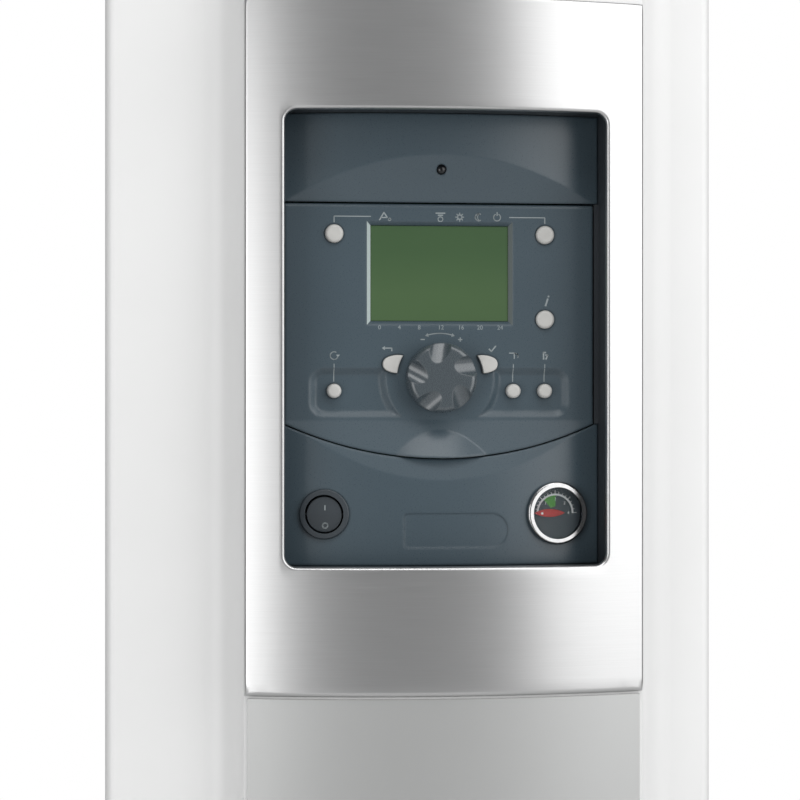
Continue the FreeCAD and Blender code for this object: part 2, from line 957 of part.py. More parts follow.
keep("control_box", without("control_box", box_solid, pin_bore))

# Main board: on four posts at the back of the control box
y_board_rear = y_box_floor - s.post_height
main_board = block(
    -half_board,
    half_board,
    y_board_rear - s.board_sheet,
    y_board_rear,
    z_board_middle - board_rise,
    z_board_middle + board_rise,
)
keep("main_board", main_board)

# Cross rails: two folded channels between the sides, behind the control box
channel_face = s.rail_sheet


def cross_rail(z_low):
    body = new_body("rail")
    y_rail_rear = y_box_rear + s.rail_depth
    high = z_low + s.rail_height
    channel = [
        (y_box_rear, z_low),
        (y_rail_rear, z_low),
        (y_rail_rear, z_low + channel_face),
        (y_box_rear + channel_face, z_low + channel_face),
        (y_box_rear + channel_face, high - channel_face),
        (y_rail_rear, high - channel_face),
        (y_rail_rear, high),
        (y_box_rear, high),
    ]
    prism(body, "x", inner_left, inner_right, [channel])
    return body


rails = doc.addObject("Part::Compound", "cross_rails")
rails.Links = [
    cross_rail(z_box_low + s.rail_inset),
    cross_rail(z_box_top - s.rail_inset - s.rail_height),
]
keep("cross_rails", rails)

# Upper cover: convex plate over the flap, cut back by an inclined facet down to the seam
plate_half = box_inner_half - s.plate_clearance
y_plate_rear = y_panel + s.plate_wall
z_plate_top = z_box_top - s.box_wall - s.plate_clearance
convex_plate = [
    (-plate_half, y_plate_rear),
    (-plate_half, y_on(panel_radius, plate_half)),
    (plate_half, y_on(panel_radius, plate_half), panel_radius, "left"),
    (plate_half, y_plate_rear),
]
y_crown = y_panel - panel_crown
upper = new_body("upper_plate")
prism(upper, "z", z_seam, z_plate_top, [convex_plate])
z_upper_facet = z_seam + s.plate_clearance
upper_facet = [
    (y_panel, z_seam - s.overrun),
    (y_panel, z_upper_facet),
    (y_crown, z_upper_facet + s.upper_facet_run),
    (y_crown - s.overrun, z_upper_facet + s.upper_facet_run),
    (y_crown - s.overrun, z_seam - s.overrun),
]
prism(upper, "x", -plate_half - s.overrun, plate_half + s.overrun, [upper_facet], remove=True)
z_lamp = z_seam + s.lamp_rise
lamp_hole = [(zero, z_lamp, s.lamp_radius + s.lamp_clearance)]
prism(upper, "y", y_plate_rear + s.overrun, y_crown - s.overrun, circles=lamp_hole, remove=True)
keep("upper_cover", upper)

# Indicator lamp: a short light guide with a domed front, held by its flange behind the cover
lamp_rise = (z_lamp - z_upper_facet) / s.upper_facet_run * panel_crown
y_lamp_front = y_panel - lamp_rise
dome = s.lamp_radius / 2
dome_radius = (s.lamp_radius * s.lamp_radius + dome * dome) / (2 * dome)
lamp_profile = [
    (zero, y_plate_rear + s.lamp_flange),
    (s.lamp_radius + s.lamp_flange, y_plate_rear + s.lamp_flange),
    (s.lamp_radius + s.lamp_flange, y_plate_rear),
    (s.lamp_radius, y_plate_rear),
    (s.lamp_radius, y_lamp_front),
    (zero, y_lamp_front - dome, dome_radius, "right"),
]
keep("indicator_lamp", turned("indicator_lamp", lamp_profile, (zero, zero, z_lamp)))

# Lower panel: convex plate with the crescent facet under the flap and seats for switch and gauge
z_plate_low = z_box_low + s.box_wall + s.plate_clearance
lower = new_body("lower_plate")
prism(lower, "z", z_plate_low, z_arc_end - s.plate_clearance, [convex_plate])
lower_facet = [
    (y_panel + s.overrun, z_facet),
    (y_panel, z_facet),
    (y_crown, z_facet - s.facet_run),
    (y_crown - s.overrun, z_facet - s.facet_run),
    (y_crown - s.overrun, z_facet + s.overrun),
    (y_panel + s.overrun, z_facet + s.overrun),
]
prism(lower, "x", -plate_half - s.overrun, plate_half + s.overrun, [lower_facet], remove=True)
flap_sweep = [(zero, z_arc_centre, flap_arc + s.flap_gap)]
prism(lower, "y", y_plate_rear + s.overrun, y_crown - s.overrun, circles=flap_sweep, remove=True)

# Shallow moulded field between the dials, square at its left end and round at its right
label_rise = s.label_height / 2
z_label = z_dials - s.label_drop
label_low = z_label - label_rise
label_top = z_label + label_rise
label_end = s.label_right - label_rise
label_field = [
    (label_end, label_low),
    (s.label_right, z_label, label_rise, "left"),
    (label_end, label_top, label_rise, "left"),
    (s.label_corner - s.label_left, label_top),
    (-s.label_left, label_top - s.label_corner, s.label_corner, "left"),
    (-s.label_left, label_low + s.label_corner),
    (s.label_corner - s.label_left, label_low, s.label_corner, "left"),
]
label_floor = panel_radius - s.label_depth
label_room = new_body("label_room")
y_label = y_on(label_floor, s.label_right)
prism(label_room, "y", y_label, y_crown - s.overrun, [label_field])
field_core = new_body("field_core")
core_half = s.label_right + s.overrun
core_end = y_on(label_floor, core_half)
core_path = [
    (core_half, y_plate_rear),
    (-core_half, y_plate_rear),
    (-core_half, core_end),
    (core_half, core_end, label_floor, "left"),
]
prism(field_core, "z", label_low - s.overrun, label_top + s.overrun, [core_path])
label_cut = without("label_cut", label_room, field_core)

# Switch and gauge stand square to the convex plate, left and right
dial_column = window_half - s.dial_inset
dial_angle = arc_sine(dial_column / panel_radius)
y_dials = y_on(panel_radius, dial_column)
switch_at = (-dial_column, y_dials, z_dials)
gauge_at = (dial_column, y_dials, z_dials)
lean_left = ((0, 0, -1), dial_angle)
lean_right = ((0, 0, 1), dial_angle)


def seat_cutter(radius, at, lean):
    """A rod square to the plate, long enough to pass through it."""
    reach = panel_crown + s.plate_wall + s.overrun
    body = new_body("seat_cutter")
    prism(body, "y", reach, -reach, circles=[(zero, zero, radius)])
    return place(body, at, lean)


switch_seat = seat_cutter(s.switch_barrel_radius + s.hole_clearance, switch_at, lean_left)
gauge_seat = seat_cutter(s.gauge_case_radius + s.hole_clearance, gauge_at, lean_right)
keep("lower_panel", without("lower_panel", lower, switch_seat, gauge_seat, label_cut))

# Control flap: flat moulding hinged at its top edge, its lower end following an arc
flap = new_body("flap_plate")
facet_slope = panel_crown / s.facet_run
z_flap_cut = z_flap_low - s.overrun
y_flap_nose = y_panel - facet_slope * (z_facet - z_flap_cut)
flap_profile = [
    (y_flap_rear, z_flap_cut),
    (y_flap_rear, z_hinge),
    (y_hinge, z_flap_top, s.flap_sheet / 2, "left"),
    (y_panel, z_hinge, s.flap_sheet / 2, "left"),
    (y_panel, z_facet),
    (y_flap_nose, z_flap_cut),
]
prism(flap, "x", -flap_half, flap_half, [flap_profile])
wide = flap_half + s.overrun
z_wide = z_arc_centre - root(flap_arc * flap_arc - wide * wide)
below_arc = [
    (-wide, z_flap_cut - s.overrun),
    (wide, z_flap_cut - s.overrun),
    (wide, z_wide),
    (-wide, z_wide, flap_arc, "right"),
]
prism(
    flap, "y", y_flap_rear + s.overrun, y_flap_nose - s.overrun, [below_arc], remove=True
)

# Display window in the flap, its front edge bevelled on all four sides
z_display = z_seam - s.display_drop
view_half = s.display_width / 2
view_rise = s.display_height / 2
view = rectangle(-view_half, view_half, z_display - view_rise, z_display + view_rise)
prism(flap, "y", y_flap_rear + s.overrun, y_panel - s.overrun, [view], remove=True)
bevel = s.display_bevel
bevel_half, bevel_rise = view_half + bevel, view_rise + bevel
bevel_frame = rectangle(-bevel_half, bevel_half, z_display - bevel_rise, z_display + bevel_rise)
bevel_angle = Size(-45, "(0 - 45)")
prism(flap, "y", y_panel, y_panel + bevel, [bevel_frame], remove=True, slope=bevel_angle)

# Two troughs beside the knob, where the small keys stand
z_knob = z_seam - s.knob_drop
trough_half = flap_half - s.trough_margin
z_trough_top = z_seam - s.trough_drop
z_trough_low = z_trough_top - s.trough_height
ring = s.knob_radius + s.trough_knob_gap
top_drop = z_trough_top - z_knob
low_drop = z_knob - z_trough_low
ring_top = root(ring * ring - top_drop * top_drop)
ring_low = root(ring * ring - low_drop * low_drop)
corner = s.trough_corner
left_trough = [
    (corner - trough_half, z_trough_top),
    (-trough_half, z_trough_top - corner, corner, "left"),
    (-trough_half, z_trough_low + corner),
    (corner - trough_half, z_trough_low, corner, "left"),
    (-ring_low, z_trough_low),
    (-ring, z_knob, ring, "right"),
    (-ring_top, z_trough_top, ring, "right"),
]
right_trough = [
    (trough_half - corner, z_trough_low),
    (trough_half, z_trough_low + corner, corner, "left"),
    (trough_half, z_trough_top - corner),
    (trough_half - corner, z_trough_top, corner, "left"),
    (ring_top, z_trough_top),
    (ring, z_knob, ring, "right"),
    (ring_low, z_trough_low, ring, "right"),
]
trough_slope = -s.trough_slope_angle
for trough in (left_trough, right_trough):
    prism(
        flap,
        "y",
        y_panel,
        y_panel + s.trough_depth,
        [trough],
        remove=True,
        slope=trough_slope,
    )

# Holes for the round keys and for the encoder's bushing
key_column = flap_half * s.key_column_share
sweep_column = flap_half * s.sweep_column_share
key_spots = {
    "hot_water_key": (-key_column, z_seam - s.upper_key_drop, s.key_radius),
    "mode_key": (key_column, z_seam - s.upper_key_drop, s.key_radius),
    "info_key": (key_column, z_seam - s.info_key_drop, s.key_radius),
    "reset_key": (-key_column, z_seam - s.small_key_drop, s.small_key_radius),
    "sweep_key": (sweep_column, z_seam - s.small_key_drop, s.small_key_radius),
    "manual_key": (key_column, z_seam - s.small_key_drop, s.small_key_radius),
}
key_holes = [(x, z, r + s.key_clearance) for x, z, r in key_spots.values()]
key_holes.append((zero, z_knob, s.bushing_radius + s.bushing_clearance))
prism(flap, "y", y_flap_rear + s.overrun, y_panel - s.overrun, circles=key_holes, remove=True)


def command_key_path(side, spread):
    """Outline of a command key: a blunt leaf whose inner side follows a circle about the knob."""
    inset = s.command_key_inset - spread
    high, low = s.command_key_top + spread, s.command_key_bottom - spread
    arc = s.command_key_arc + spread
    tip = s.command_key_tip_round + spread
    half = s.command_key_tip_half + spread
    shoulder = s.command_key_reach + spread - tip + root(tip * tip - half * half)
    z_tip = z_knob + s.command_key_tip
    turn, hollow_turn = ("left", "right") if side < 0 else ("right", "left")
    return [
        (side * root(inset * inset - high * high), z_knob + high, inset, hollow_turn),
        (side * shoulder, z_tip + half, arc, turn),
        (side * shoulder, z_tip - half, tip, turn),
        (side * root(inset * inset - low * low), z_knob + low, arc, turn),
    ]


for side in (-1, 1):
    hole = command_key_path(side, s.key_clearance)
    prism(flap, "y", y_flap_rear + s.overrun, y_panel - s.overrun, [hole], remove=True)

# Finger tab: part of a leaning cylinder that rises out of the facet towards the flap's lower edge
tab_half = s.tab_chord / 2
z_tab_top = z_flap_low + s.tab_height
y_facet_base = y_panel - facet_slope * (z_facet - z_flap_low)
y_facet_peak = y_panel - facet_slope * (z_facet - z_tab_top)
y_tab_front = y_facet_base - s.tab_lift
crest_run = y_facet_peak - y_tab_front
crest = root(crest_run * crest_run + s.tab_height * s.tab_height)
crest_sine, crest_cosine = crest_run / crest, s.tab_height / crest
tab_sag = s.tab_lift * crest_cosine
tab_radius = (tab_half * tab_half + tab_sag * tab_sag) / (2 * tab_sag)
y_tab_axis = y_tab_front + tab_radius / crest_cosine
tab_start = (
    zero,
    y_tab_axis - tab_radius * crest_sine,
    z_flap_low - tab_radius * crest_cosine,
)
tab_round = rod(tab_radius, "z", tab_start, 2 * tab_radius)
place(tab_round, tab_start, ((-1, 0, 0), arc_sine(crest_sine)))
z_tab_corner = z_arc_centre - root(flap_arc * flap_arc - tab_half * tab_half)
tab_outline = [
    (-tab_half, z_tab_corner),
    (tab_half, z_tab_corner, flap_arc, "left"),
    (tab_half, z_tab_top),
    (-tab_half, z_tab_top),
]
tab_stock = new_body("tab_stock")
prism(tab_stock, "y", y_hinge, y_tab_front - s.overrun, [tab_outline])
tab = shared("finger_tab", tab_stock, tab_round)
flap_with_tab = joined("flap_with_tab", flap, tab)
press_bore = s.hinge_pin_radius + s.hinge_press
press_holes = [
    rod(press_bore, "x", (start, y_hinge, z_hinge), s.hinge_pin_grip + s.overrun)
    for start in (-flap_half - s.overrun, flap_half - s.hinge_pin_grip)
]
keep("control_flap", without("control_flap", flap_with_tab, *press_holes))

# Hinge pins: pressed into the flap's ends, turning in the ledges of the control box
pin_length = s.hinge_pin_grip + s.hinge_pin_reach
pins = doc.addObject("Part::Compound", "hinge_pins")
pins.Links = [
    rod(s.hinge_pin_radius, "x", (start, y_hinge, z_hinge), pin_length)
    for start in (-flap_half - s.hinge_pin_reach, flap_half - s.hinge_pin_grip)
]
keep("hinge_pins", pins)

# Display module: glass seated in the window, with a frame that bears on the operator board
y_board_front = y_flap_rear + s.board_stand
clear = s.display_clearance
glass = block(
    clear - view_half,
    view_half - clear,
    y_panel + s.display_recess,
    y_flap_rear + clear,
    z_display - view_rise + clear,
    z_display + view_rise - clear,
)
frame_half = view_half + s.display_frame
frame_rise = view_rise + s.display_frame
display_frame = block(
    -frame_half,
    frame_half,
    y_flap_rear + clear,
    y_board_front,
    z_display - frame_rise,
    z_display + frame_rise,
)
keep("display_module", joined("display_module", glass, display_frame))

# Operator board and the shallow back cover that closes the flap's electronics
operator_half = flap_half - s.operator_margin
z_operator_top = z_seam - s.operator_drop
z_operator_low = z_operator_top - s.operator_height
y_operator_rear = y_board_front + s.board_sheet + s.operator_wall
operator = new_body("operator_back")
operator_shape = rectangle(-operator_half, operator_half, z_operator_low, z_operator_top)
prism(operator, "y", y_operator_rear, y_flap_rear, [operator_shape])
wall = s.operator_wall
operator_room = rectangle(
    wall - operator_half, operator_half - wall, z_operator_low + wall, z_operator_top - wall
)
prism(operator, "y", y_operator_rear - wall, y_flap_rear - s.overrun, [operator_room], remove=True)
keep("operator_back", operator)
margin = wall + s.board_gap
operator_board = new_body("operator_board")
board_shape = rectangle(
    margin - operator_half,
    operator_half - margin,
    z_operator_low + margin,
    z_operator_top - margin,
)
prism(operator_board, "y", y_board_front + s.board_sheet, y_board_front, [board_shape])
keep("operator_board", operator_board)


def round_key(label, x, z, radius):
    """A push key: a rounded cap on a stem, kept in the flap by a flange behind it."""
    y_flange = y_flap_rear + s.key_rest_gap
    profile = [
        (zero, y_panel - s.key_stand),
        (zero, y_flange + s.key_flange_sheet),
        (radius + s.key_flange, y_flange + s.key_flange_sheet),
        (radius + s.key_flange, y_flange),
        (radius, y_flange),
        (radius, y_panel - s.key_stand + s.key_round),
        (radius - s.key_round, y_panel - s.key_stand, s.key_round, "right"),
    ]
    return keep(label, turned(label, profile, (x, zero, z)))


for label, (x, z, radius) in key_spots.items():
    round_key(label, x, z, radius)


def command_key(label, side):
    body = new_body(label)
    y_flange = y_flap_rear + s.key_rest_gap
    prism(body, "y", y_flange, y_panel - s.key_stand, [command_key_path(side, zero)])
    prism(
        body,
        "y",
        y_flange + s.key_flange_sheet,
        y_flange,
        [command_key_path(side, s.key_flange)],
    )
    soften(body, s.command_key_round, lambda p: near(p.y, (y_panel - s.key_stand).value))
    return keep(label, body)


command_key("escape_key", -1)
command_key("confirm_key", 1)

# Rotary knob: domed disc with swirled finger flutes, on a stem that turns in the encoder
flutes = 5
knob_front = -s.knob_gap - s.knob_height
knob_profile = [
    (zero, knob_front),
    (zero, s.knob_stem_length),
    (s.knob_stem_radius, s.knob_stem_length),
    (s.knob_stem_radius, -s.knob_gap),
    (s.knob_radius, -s.knob_gap),
    (s.knob_radius, knob_front + s.knob_round),
    (s.knob_radius - s.knob_round, knob_front, s.knob_round, "right"),
]
knob = turned("rotary_knob", knob_profile)
doc.recompute()
flute = knob.newObject("PartDesign::SubtractiveCylinder", "Flute")
flute.AttachmentSupport = [(origin_feature(knob, "XZ_Plane"), "")]
flute.MapMode = "FlatFace"
flute.setExpression("Radius", s.flute_radius.text)
flute.setExpression("Height", s.flute_length.text)
slope = s.flute_slope_angle.value
swirl = FreeCAD.Rotation(FreeCAD.Vector(0, 0, 1), 90 - s.flute_swirl_angle.value)
lean = FreeCAD.Rotation(FreeCAD.Vector(0, 1, 0), 90 + slope)
lift = s.flute_radius / Size(math.cos(math.radians(slope)), "cos(Sizes.flute_slope_angle)")
flute_base = lift - knob_front + s.flute_rise
flute.AttachmentOffset = FreeCAD.Placement(FreeCAD.Vector(0, 0, 0), swirl * lean)
flute.setExpression("AttachmentOffset.Base.x", (-s.flute_side).text)
flute.setExpression("AttachmentOffset.Base.y", s.flute_inner.text)
flute.setExpression("AttachmentOffset.Base.z", flute_base.text)
knob.Tip = flute
doc.recompute()
ring_of_flutes = knob.newObject("PartDesign::PolarPattern", "Flutes")
ring_of_flutes.Originals = [flute]
ring_of_flutes.Axis = (origin_feature(knob, "Y_Axis"), [""])
ring_of_flutes.Angle = 360
ring_of_flutes.Occurrences = flutes
knob.Tip = ring_of_flutes
place(knob, (zero, y_panel, z_knob))
keep("rotary_knob", knob)

# Encoder: square housing on the operator board, its bushing reaching into the flap
stem_bore = s.knob_stem_radius + s.stem_clearance
y_bushing = y_panel + s.trough_depth
encoder_half = s.encoder_width / 2
encoder_case = block(
    -encoder_half,
    encoder_half,
    y_flap_rear + s.display_clearance,
    y_board_front,
    z_knob - encoder_half,
    z_knob + encoder_half,
)
bushing = rod(s.bushing_radius, "y", (zero, y_board_front, z_knob), y_board_front - y_bushing)
stem_room = rod(
    stem_bore,
    "y",
    (zero, y_board_front + s.board_sheet + s.overrun, z_knob),
    y_board_front + s.board_sheet + 2 * s.overrun - y_bushing,
)
encoder_solid = joined("encoder_solid", encoder_case, bushing)
keep("encoder", without("encoder", encoder_solid, stem_room))
board_bore = rod(
    s.bushing_radius,
    "y",
    (zero, y_board_front + s.board_sheet + s.overrun, z_knob),
    s.board_sheet + 2 * s.overrun,
)
keep("operator_board", without("operator_board", nodes.pop("operator_board"), board_bore))

# Main switch: round collar with a deep barrel, and a rocker that tips on two trunnions
collar_profile = [
    (s.switch_bore_radius, -s.switch_stand),
    (s.switch_bore_radius, s.switch_depth - s.switch_wall),
    (zero, s.switch_depth - s.switch_wall),
    (zero, s.switch_depth),
    (s.switch_barrel_radius, s.switch_depth),
    (s.switch_barrel_radius, zero),
    (s.switch_collar_radius, zero),
    (s.switch_collar_radius, s.switch_edge - s.switch_stand),
    (s.switch_collar_radius - s.switch_edge, -s.switch_stand, s.switch_edge, "right"),
]
collar = turned("collar", collar_profile, switch_at, lean_left)
trunnion_hole = s.trunnion_radius + s.trunnion_clearance
trunnion_span = s.switch_bore_radius + s.trunnion_reach


def cross_pin(label, radius, half_span):
    """A pin across the switch, along its own X, at the rocker's pivot."""
    body = new_body(label)
    prism(body, "x", -half_span, half_span, circles=[(s.rocker_pivot, zero, radius)])
    return place(body, switch_at, lean_left)


pivot_bore = cross_pin("pivot_bore", trunnion_hole, trunnion_span + s.trunnion_clearance)
keep("switch_collar", without("switch_collar", collar, pivot_bore))

# Rocker: a slice of a ball about the pivot, its face bent in two halves and tipped to one side
ball_face = root(s.rocker_radius * s.rocker_radius - s.rocker_front * s.rocker_front)
ball_back = root(s.rocker_radius * s.rocker_radius - s.rocker_back * s.rocker_back)
y_face = s.rocker_pivot - s.rocker_front
y_rear = s.rocker_pivot + s.rocker_back
rocker_profile = [
    (zero, y_face),
    (zero, y_rear),
    (ball_back, y_rear),
    (s.rocker_radius, s.rocker_pivot, s.rocker_radius, "right"),
    (ball_face, y_face, s.rocker_radius, "right"),
]
tilt = s.rocker_tilt_angle
rocker_slope = Size(math.tan(math.radians(tilt.value)), "tan(Sizes.rocker_tilt_angle)")
rocker_ball = turned("rocker_ball", rocker_profile)
fall = 2 * s.rocker_radius * rocker_slope
bent_face = [
    (y_face - s.overrun, zero),
    (y_face - s.overrun, -s.rocker_radius - s.overrun),
    (y_face + fall, -s.rocker_radius - s.overrun),
    (y_face, zero),
]
span = s.rocker_radius + s.overrun
prism(rocker_ball, "x", -span, span, [bent_face], remove=True)
place(rocker_ball, switch_at, lean_left)
rocker_pin = cross_pin("rocker_pin", s.trunnion_radius, trunnion_span)
keep("switch_rocker", joined("switch_rocker", rocker_ball, rocker_pin))

# Pressure gauge: case behind the plate, chrome bezel, lens, dial and needle about one axis
y_dial_front = s.dial_drop
y_dial_rear = y_dial_front + s.dial_sheet
case_inner = s.gauge_case_radius - s.gauge_wall
dial_bore = s.needle_pin_radius + s.needle_pin_clearance
case_profile = [
    (dial_bore, s.gauge_depth),
    (s.gauge_case_radius, s.gauge_depth),
    (s.gauge_case_radius, zero),
    (case_inner, zero),
    (case_inner, y_dial_rear),
    (dial_bore, y_dial_rear),
]
keep("gauge_case", turned("gauge_case", case_profile, gauge_at, lean_right))

y_bezel = -s.gauge_bezel_height
bezel_round = s.gauge_bezel_round
y_lens_front = y_bezel + s.lens_drop
y_lens_rear = y_lens_front + s.lens_sheet
lens_radius = s.gauge_window_radius + s.lens_rest
lens_edge = lens_radius + s.lens_clearance
bezel_profile = [
    (lens_edge, zero),
    (s.gauge_radius, zero),
    (s.gauge_radius, y_bezel + bezel_round),
    (s.gauge_radius - bezel_round, y_bezel, bezel_round, "right"),
    (s.gauge_window_radius, y_bezel),
    (s.gauge_window_radius, y_lens_front),
    (lens_edge, y_lens_front),
]
keep("gauge_bezel", turned("gauge_bezel", bezel_profile, gauge_at, lean_right))
lens_profile = [
    (zero, y_lens_front),
    (zero, y_lens_rear),
    (lens_radius, y_lens_rear),
    (lens_radius, y_lens_front),
]
keep("gauge_lens", turned("gauge_lens", lens_profile, gauge_at, lean_right))
dial_edge = case_inner - s.lens_clearance
dial_profile = [
    (dial_bore, y_dial_front),
    (dial_bore, y_dial_rear),
    (dial_edge, y_dial_rear),
    (dial_edge, y_dial_front),
]
keep("gauge_dial", turned("gauge_dial", dial_profile, gauge_at, lean_right))

# Needle: a leaf of two arcs at rest at the low end of the scale, on a thin pin through the dial
needle = new_body("gauge_needle")
y_needle_rear = y_dial_front - s.needle_drop
y_needle_front = y_needle_rear - s.needle_sheet
leaf_half = (s.needle_length + s.needle_tail) / 2
leaf_rise = s.needle_width / 2
leaf_radius = (leaf_half * leaf_half + leaf_rise * leaf_rise) / (2 * leaf_rise)
pointer = [
    (s.needle_tail, zero, leaf_radius, "left"),
    (-s.needle_length, zero, leaf_radius, "left"),
]
prism(needle, "y", y_needle_rear, y_needle_front, [pointer])
prism(needle, "y", y_needle_rear, y_needle_front, circles=[(zero, zero, s.needle_hub_radius)])
y_pin_rear = y_dial_rear + s.needle_pin_length
prism(needle, "y", y_pin_rear, y_needle_rear, circles=[(zero, zero, s.needle_pin_radius)])
place(needle, gauge_at, lean_right)
keep("gauge_needle", needle)

# Heat exchanger bracket: a short box tube between back panel and exchanger
z_exchanger = -s.exchanger_drop
holder = new_body("exchanger_bracket")
tube_half = s.bracket_tube_width / 2
tube_wall = s.bracket_tube_wall
tube_outer = rectangle(-tube_half, tube_half, y_exchanger, y_back)
tube_inner = rectangle(
    tube_wall - tube_half, tube_half - tube_wall, y_exchanger + tube_wall, y_back - tube_wall
)
tube_rise = s.bracket_tube_height / 2
prism(holder, "z", z_exchanger - tube_rise, z_exchanger + tube_rise, [tube_outer, tube_inner])
keep("exchanger_bracket", holder)

# Heat exchanger: stainless drum with a front flange, flue nozzle, sump and two water ports
drum_inner = s.exchanger_radius - s.exchanger_wall
flange_radius = s.exchanger_radius + s.exchanger_flange
drum_profile = [
    (zero, y_exchanger),
    (s.exchanger_radius, y_exchanger),
    (s.exchanger_radius, y_flange + s.exchanger_flange_sheet),
    (flange_radius, y_flange + s.exchanger_flange_sheet),
    (flange_radius, y_flange),
    (drum_inner, y_flange),
    (drum_inner, y_exchanger - s.exchanger_wall),
    (zero, y_exchanger - s.exchanger_wall),
]
drum = turned("drum", drum_profile, (zero, zero, z_exchanger))
nozzle_bore = s.flue_radius + s.nozzle_clearance
nozzle_radius = nozzle_bore + s.nozzle_wall
z_nozzle = z_exchanger + s.nozzle_height
nozzle = rod(nozzle_radius, "z", (zero, -s.nozzle_setback, z_exchanger), s.nozzle_height)
nozzle_hole = rod(
    nozzle_bore,
    "z",
    (zero, -s.nozzle_setback, z_exchanger),
    s.nozzle_height + s.overrun,
)
sump_low = z_exchanger - s.exchanger_radius - s.sump_depth
sump = rod(s.sump_radius, "z", (zero, y_sump, sump_low), z_exchanger - sump_low)
sump_hole = rod(
    s.sump_bore,
    "z",
    (zero, y_sump, sump_low - s.overrun),
    s.exchanger_radius,
)
port_root = root(s.exchanger_radius * s.exchanger_radius - s.stub_pitch * s.stub_pitch)
port_low = z_exchanger - port_root - s.port_depth
ports = [
    rod(
        s.port_radius,
        "z",
        (side * s.stub_pitch, -s.stub_setback, port_low),
        z_exchanger - port_low,
    )
    for side in (-1, 1)
]
drum_room = rod(
    drum_inner,
    "y",
    (zero, y_exchanger - s.exchanger_wall, z_exchanger),
    s.exchanger_length,
)
drum_solid = joined("drum_solid", drum, nozzle, sump, *ports)
keep("heat_exchanger", without("heat_exchanger", drum_solid, drum_room, nozzle_hole, sump_hole))

# Exchanger coil: the stack of flattened tubes inside the drum, wound side by side
coil_turns = 6
y_coil = y_exchanger - s.exchanger_wall - s.coil_gap
coil_pitch = s.coil_length / coil_turns
coil_path = [(s.coil_inner_radius, y_coil - s.coil_length), (s.coil_inner_radius, y_coil)]
coil_path.append((s.coil_outer_radius, y_coil))
for turn_number in range(coil_turns):
    y_turn = y_coil - coil_pitch * (turn_number + 1)
    coil_path.append((s.coil_outer_radius, y_turn, s.coil_turn_radius, "right"))
keep("exchanger_coil", turned("exchanger_coil", coil_path, (zero, zero, z_exchanger)))

# Burner door: thick lid on the flange with an insulating boss, and the burner tube behind it
y_boss = y_flange + s.door_boss_depth
door_profile = [
    (s.door_port_radius, y_boss),
    (s.door_boss_radius, y_boss),
    (s.door_boss_radius, y_flange),
    (flange_radius, y_flange),
    (flange_radius, y_door),
    (s.door_port_radius, y_door),
]
keep("burner_door", turned("burner_door", door_profile, (zero, zero, z_exchanger)))
y_burner_end = y_boss + s.burner_length
burner_inner = s.burner_radius - s.burner_wall
burner_rim = s.burner_radius + s.burner_flange
burner_profile = [
    (burner_inner, y_boss),
    (burner_rim, y_boss),
    (burner_rim, y_boss + s.burner_wall),
    (s.burner_radius, y_boss + s.burner_wall),
    (s.burner_radius, y_burner_end),
    (zero, y_burner_end),
    (zero, y_burner_end - s.burner_wall),
    (burner_inner, y_burner_end - s.burner_wall),
]
keep("burner_tube", turned("burner_tube", burner_profile, (zero, zero, z_exchanger)))

# Fan housing: a drum with an inlet behind, an opening for the motor in front and a side outlet
x_fan = -s.fan_column
z_fan = -s.fan_drop
fan_wall = s.fan_wall
fan_inner = s.fan_radius - fan_wall
fan_profile = [
    (s.fan_inlet_radius, y_fan_rear),
    (s.fan_radius, y_fan_rear),
    (s.fan_radius, y_fan_front),
    (s.fan_motor_hole, y_fan_front),
    (s.fan_motor_hole, y_fan_front + fan_wall),
    (fan_inner, y_fan_front + fan_wall),
    (fan_inner, y_fan_rear - fan_wall),
    (s.fan_inlet_radius, y_fan_rear - fan_wall),
]
fan_drum = turned("fan_drum", fan_profile, (x_fan, zero, z_fan))
x_outlet = x_fan + s.fan_outlet_reach
outlet = block(
    x_fan, x_outlet, y_fan_front, y_fan_rear, z_fan + s.fan_outlet_low, z_fan + s.fan_radius
)
outlet_room = block(
    x_fan,
    x_outlet + s.overrun,
    y_fan_front + fan_wall,
    y_fan_rear - fan_wall,
    z_fan + s.fan_outlet_low + fan_wall,
    z_fan + s.fan_radius - fan_wall,
)
fan_room = rod(
    fan_inner,
    "y",
    (x_fan, y_fan_rear - fan_wall, z_fan),
    s.fan_depth - 2 * fan_wall,
)
fan_solid = joined("fan_solid", fan_drum, outlet)
keep("fan_housing", without("fan_housing", fan_solid, outlet_room, fan_room))

# Fan motor: in front of the housing, its boss filling the opening
y_motor_front = y_fan_front - s.fan_motor_length
motor_boss = s.fan_motor_hole - s.fan_boss_clearance
shaft_bore = s.fan_shaft_radius + s.fan_shaft_clearance
y_shaft_end = y_fan_front - s.fan_shaft_length
motor_round = s.fan_motor_round
motor_profile = [
    (shaft_bore, y_shaft_end),
    (shaft_bore, y_fan_front + fan_wall),
    (motor_boss, y_fan_front + fan_wall),
    (motor_boss, y_fan_front),
    (s.fan_motor_radius, y_fan_front),
    (s.fan_motor_radius, y_motor_front + motor_round),
    (s.fan_motor_radius - motor_round, y_motor_front, motor_round, "right"),
    (zero, y_motor_front),
    (zero, y_shaft_end),
]
keep("fan_motor", turned("fan_motor", motor_profile, (x_fan, zero, z_fan)))

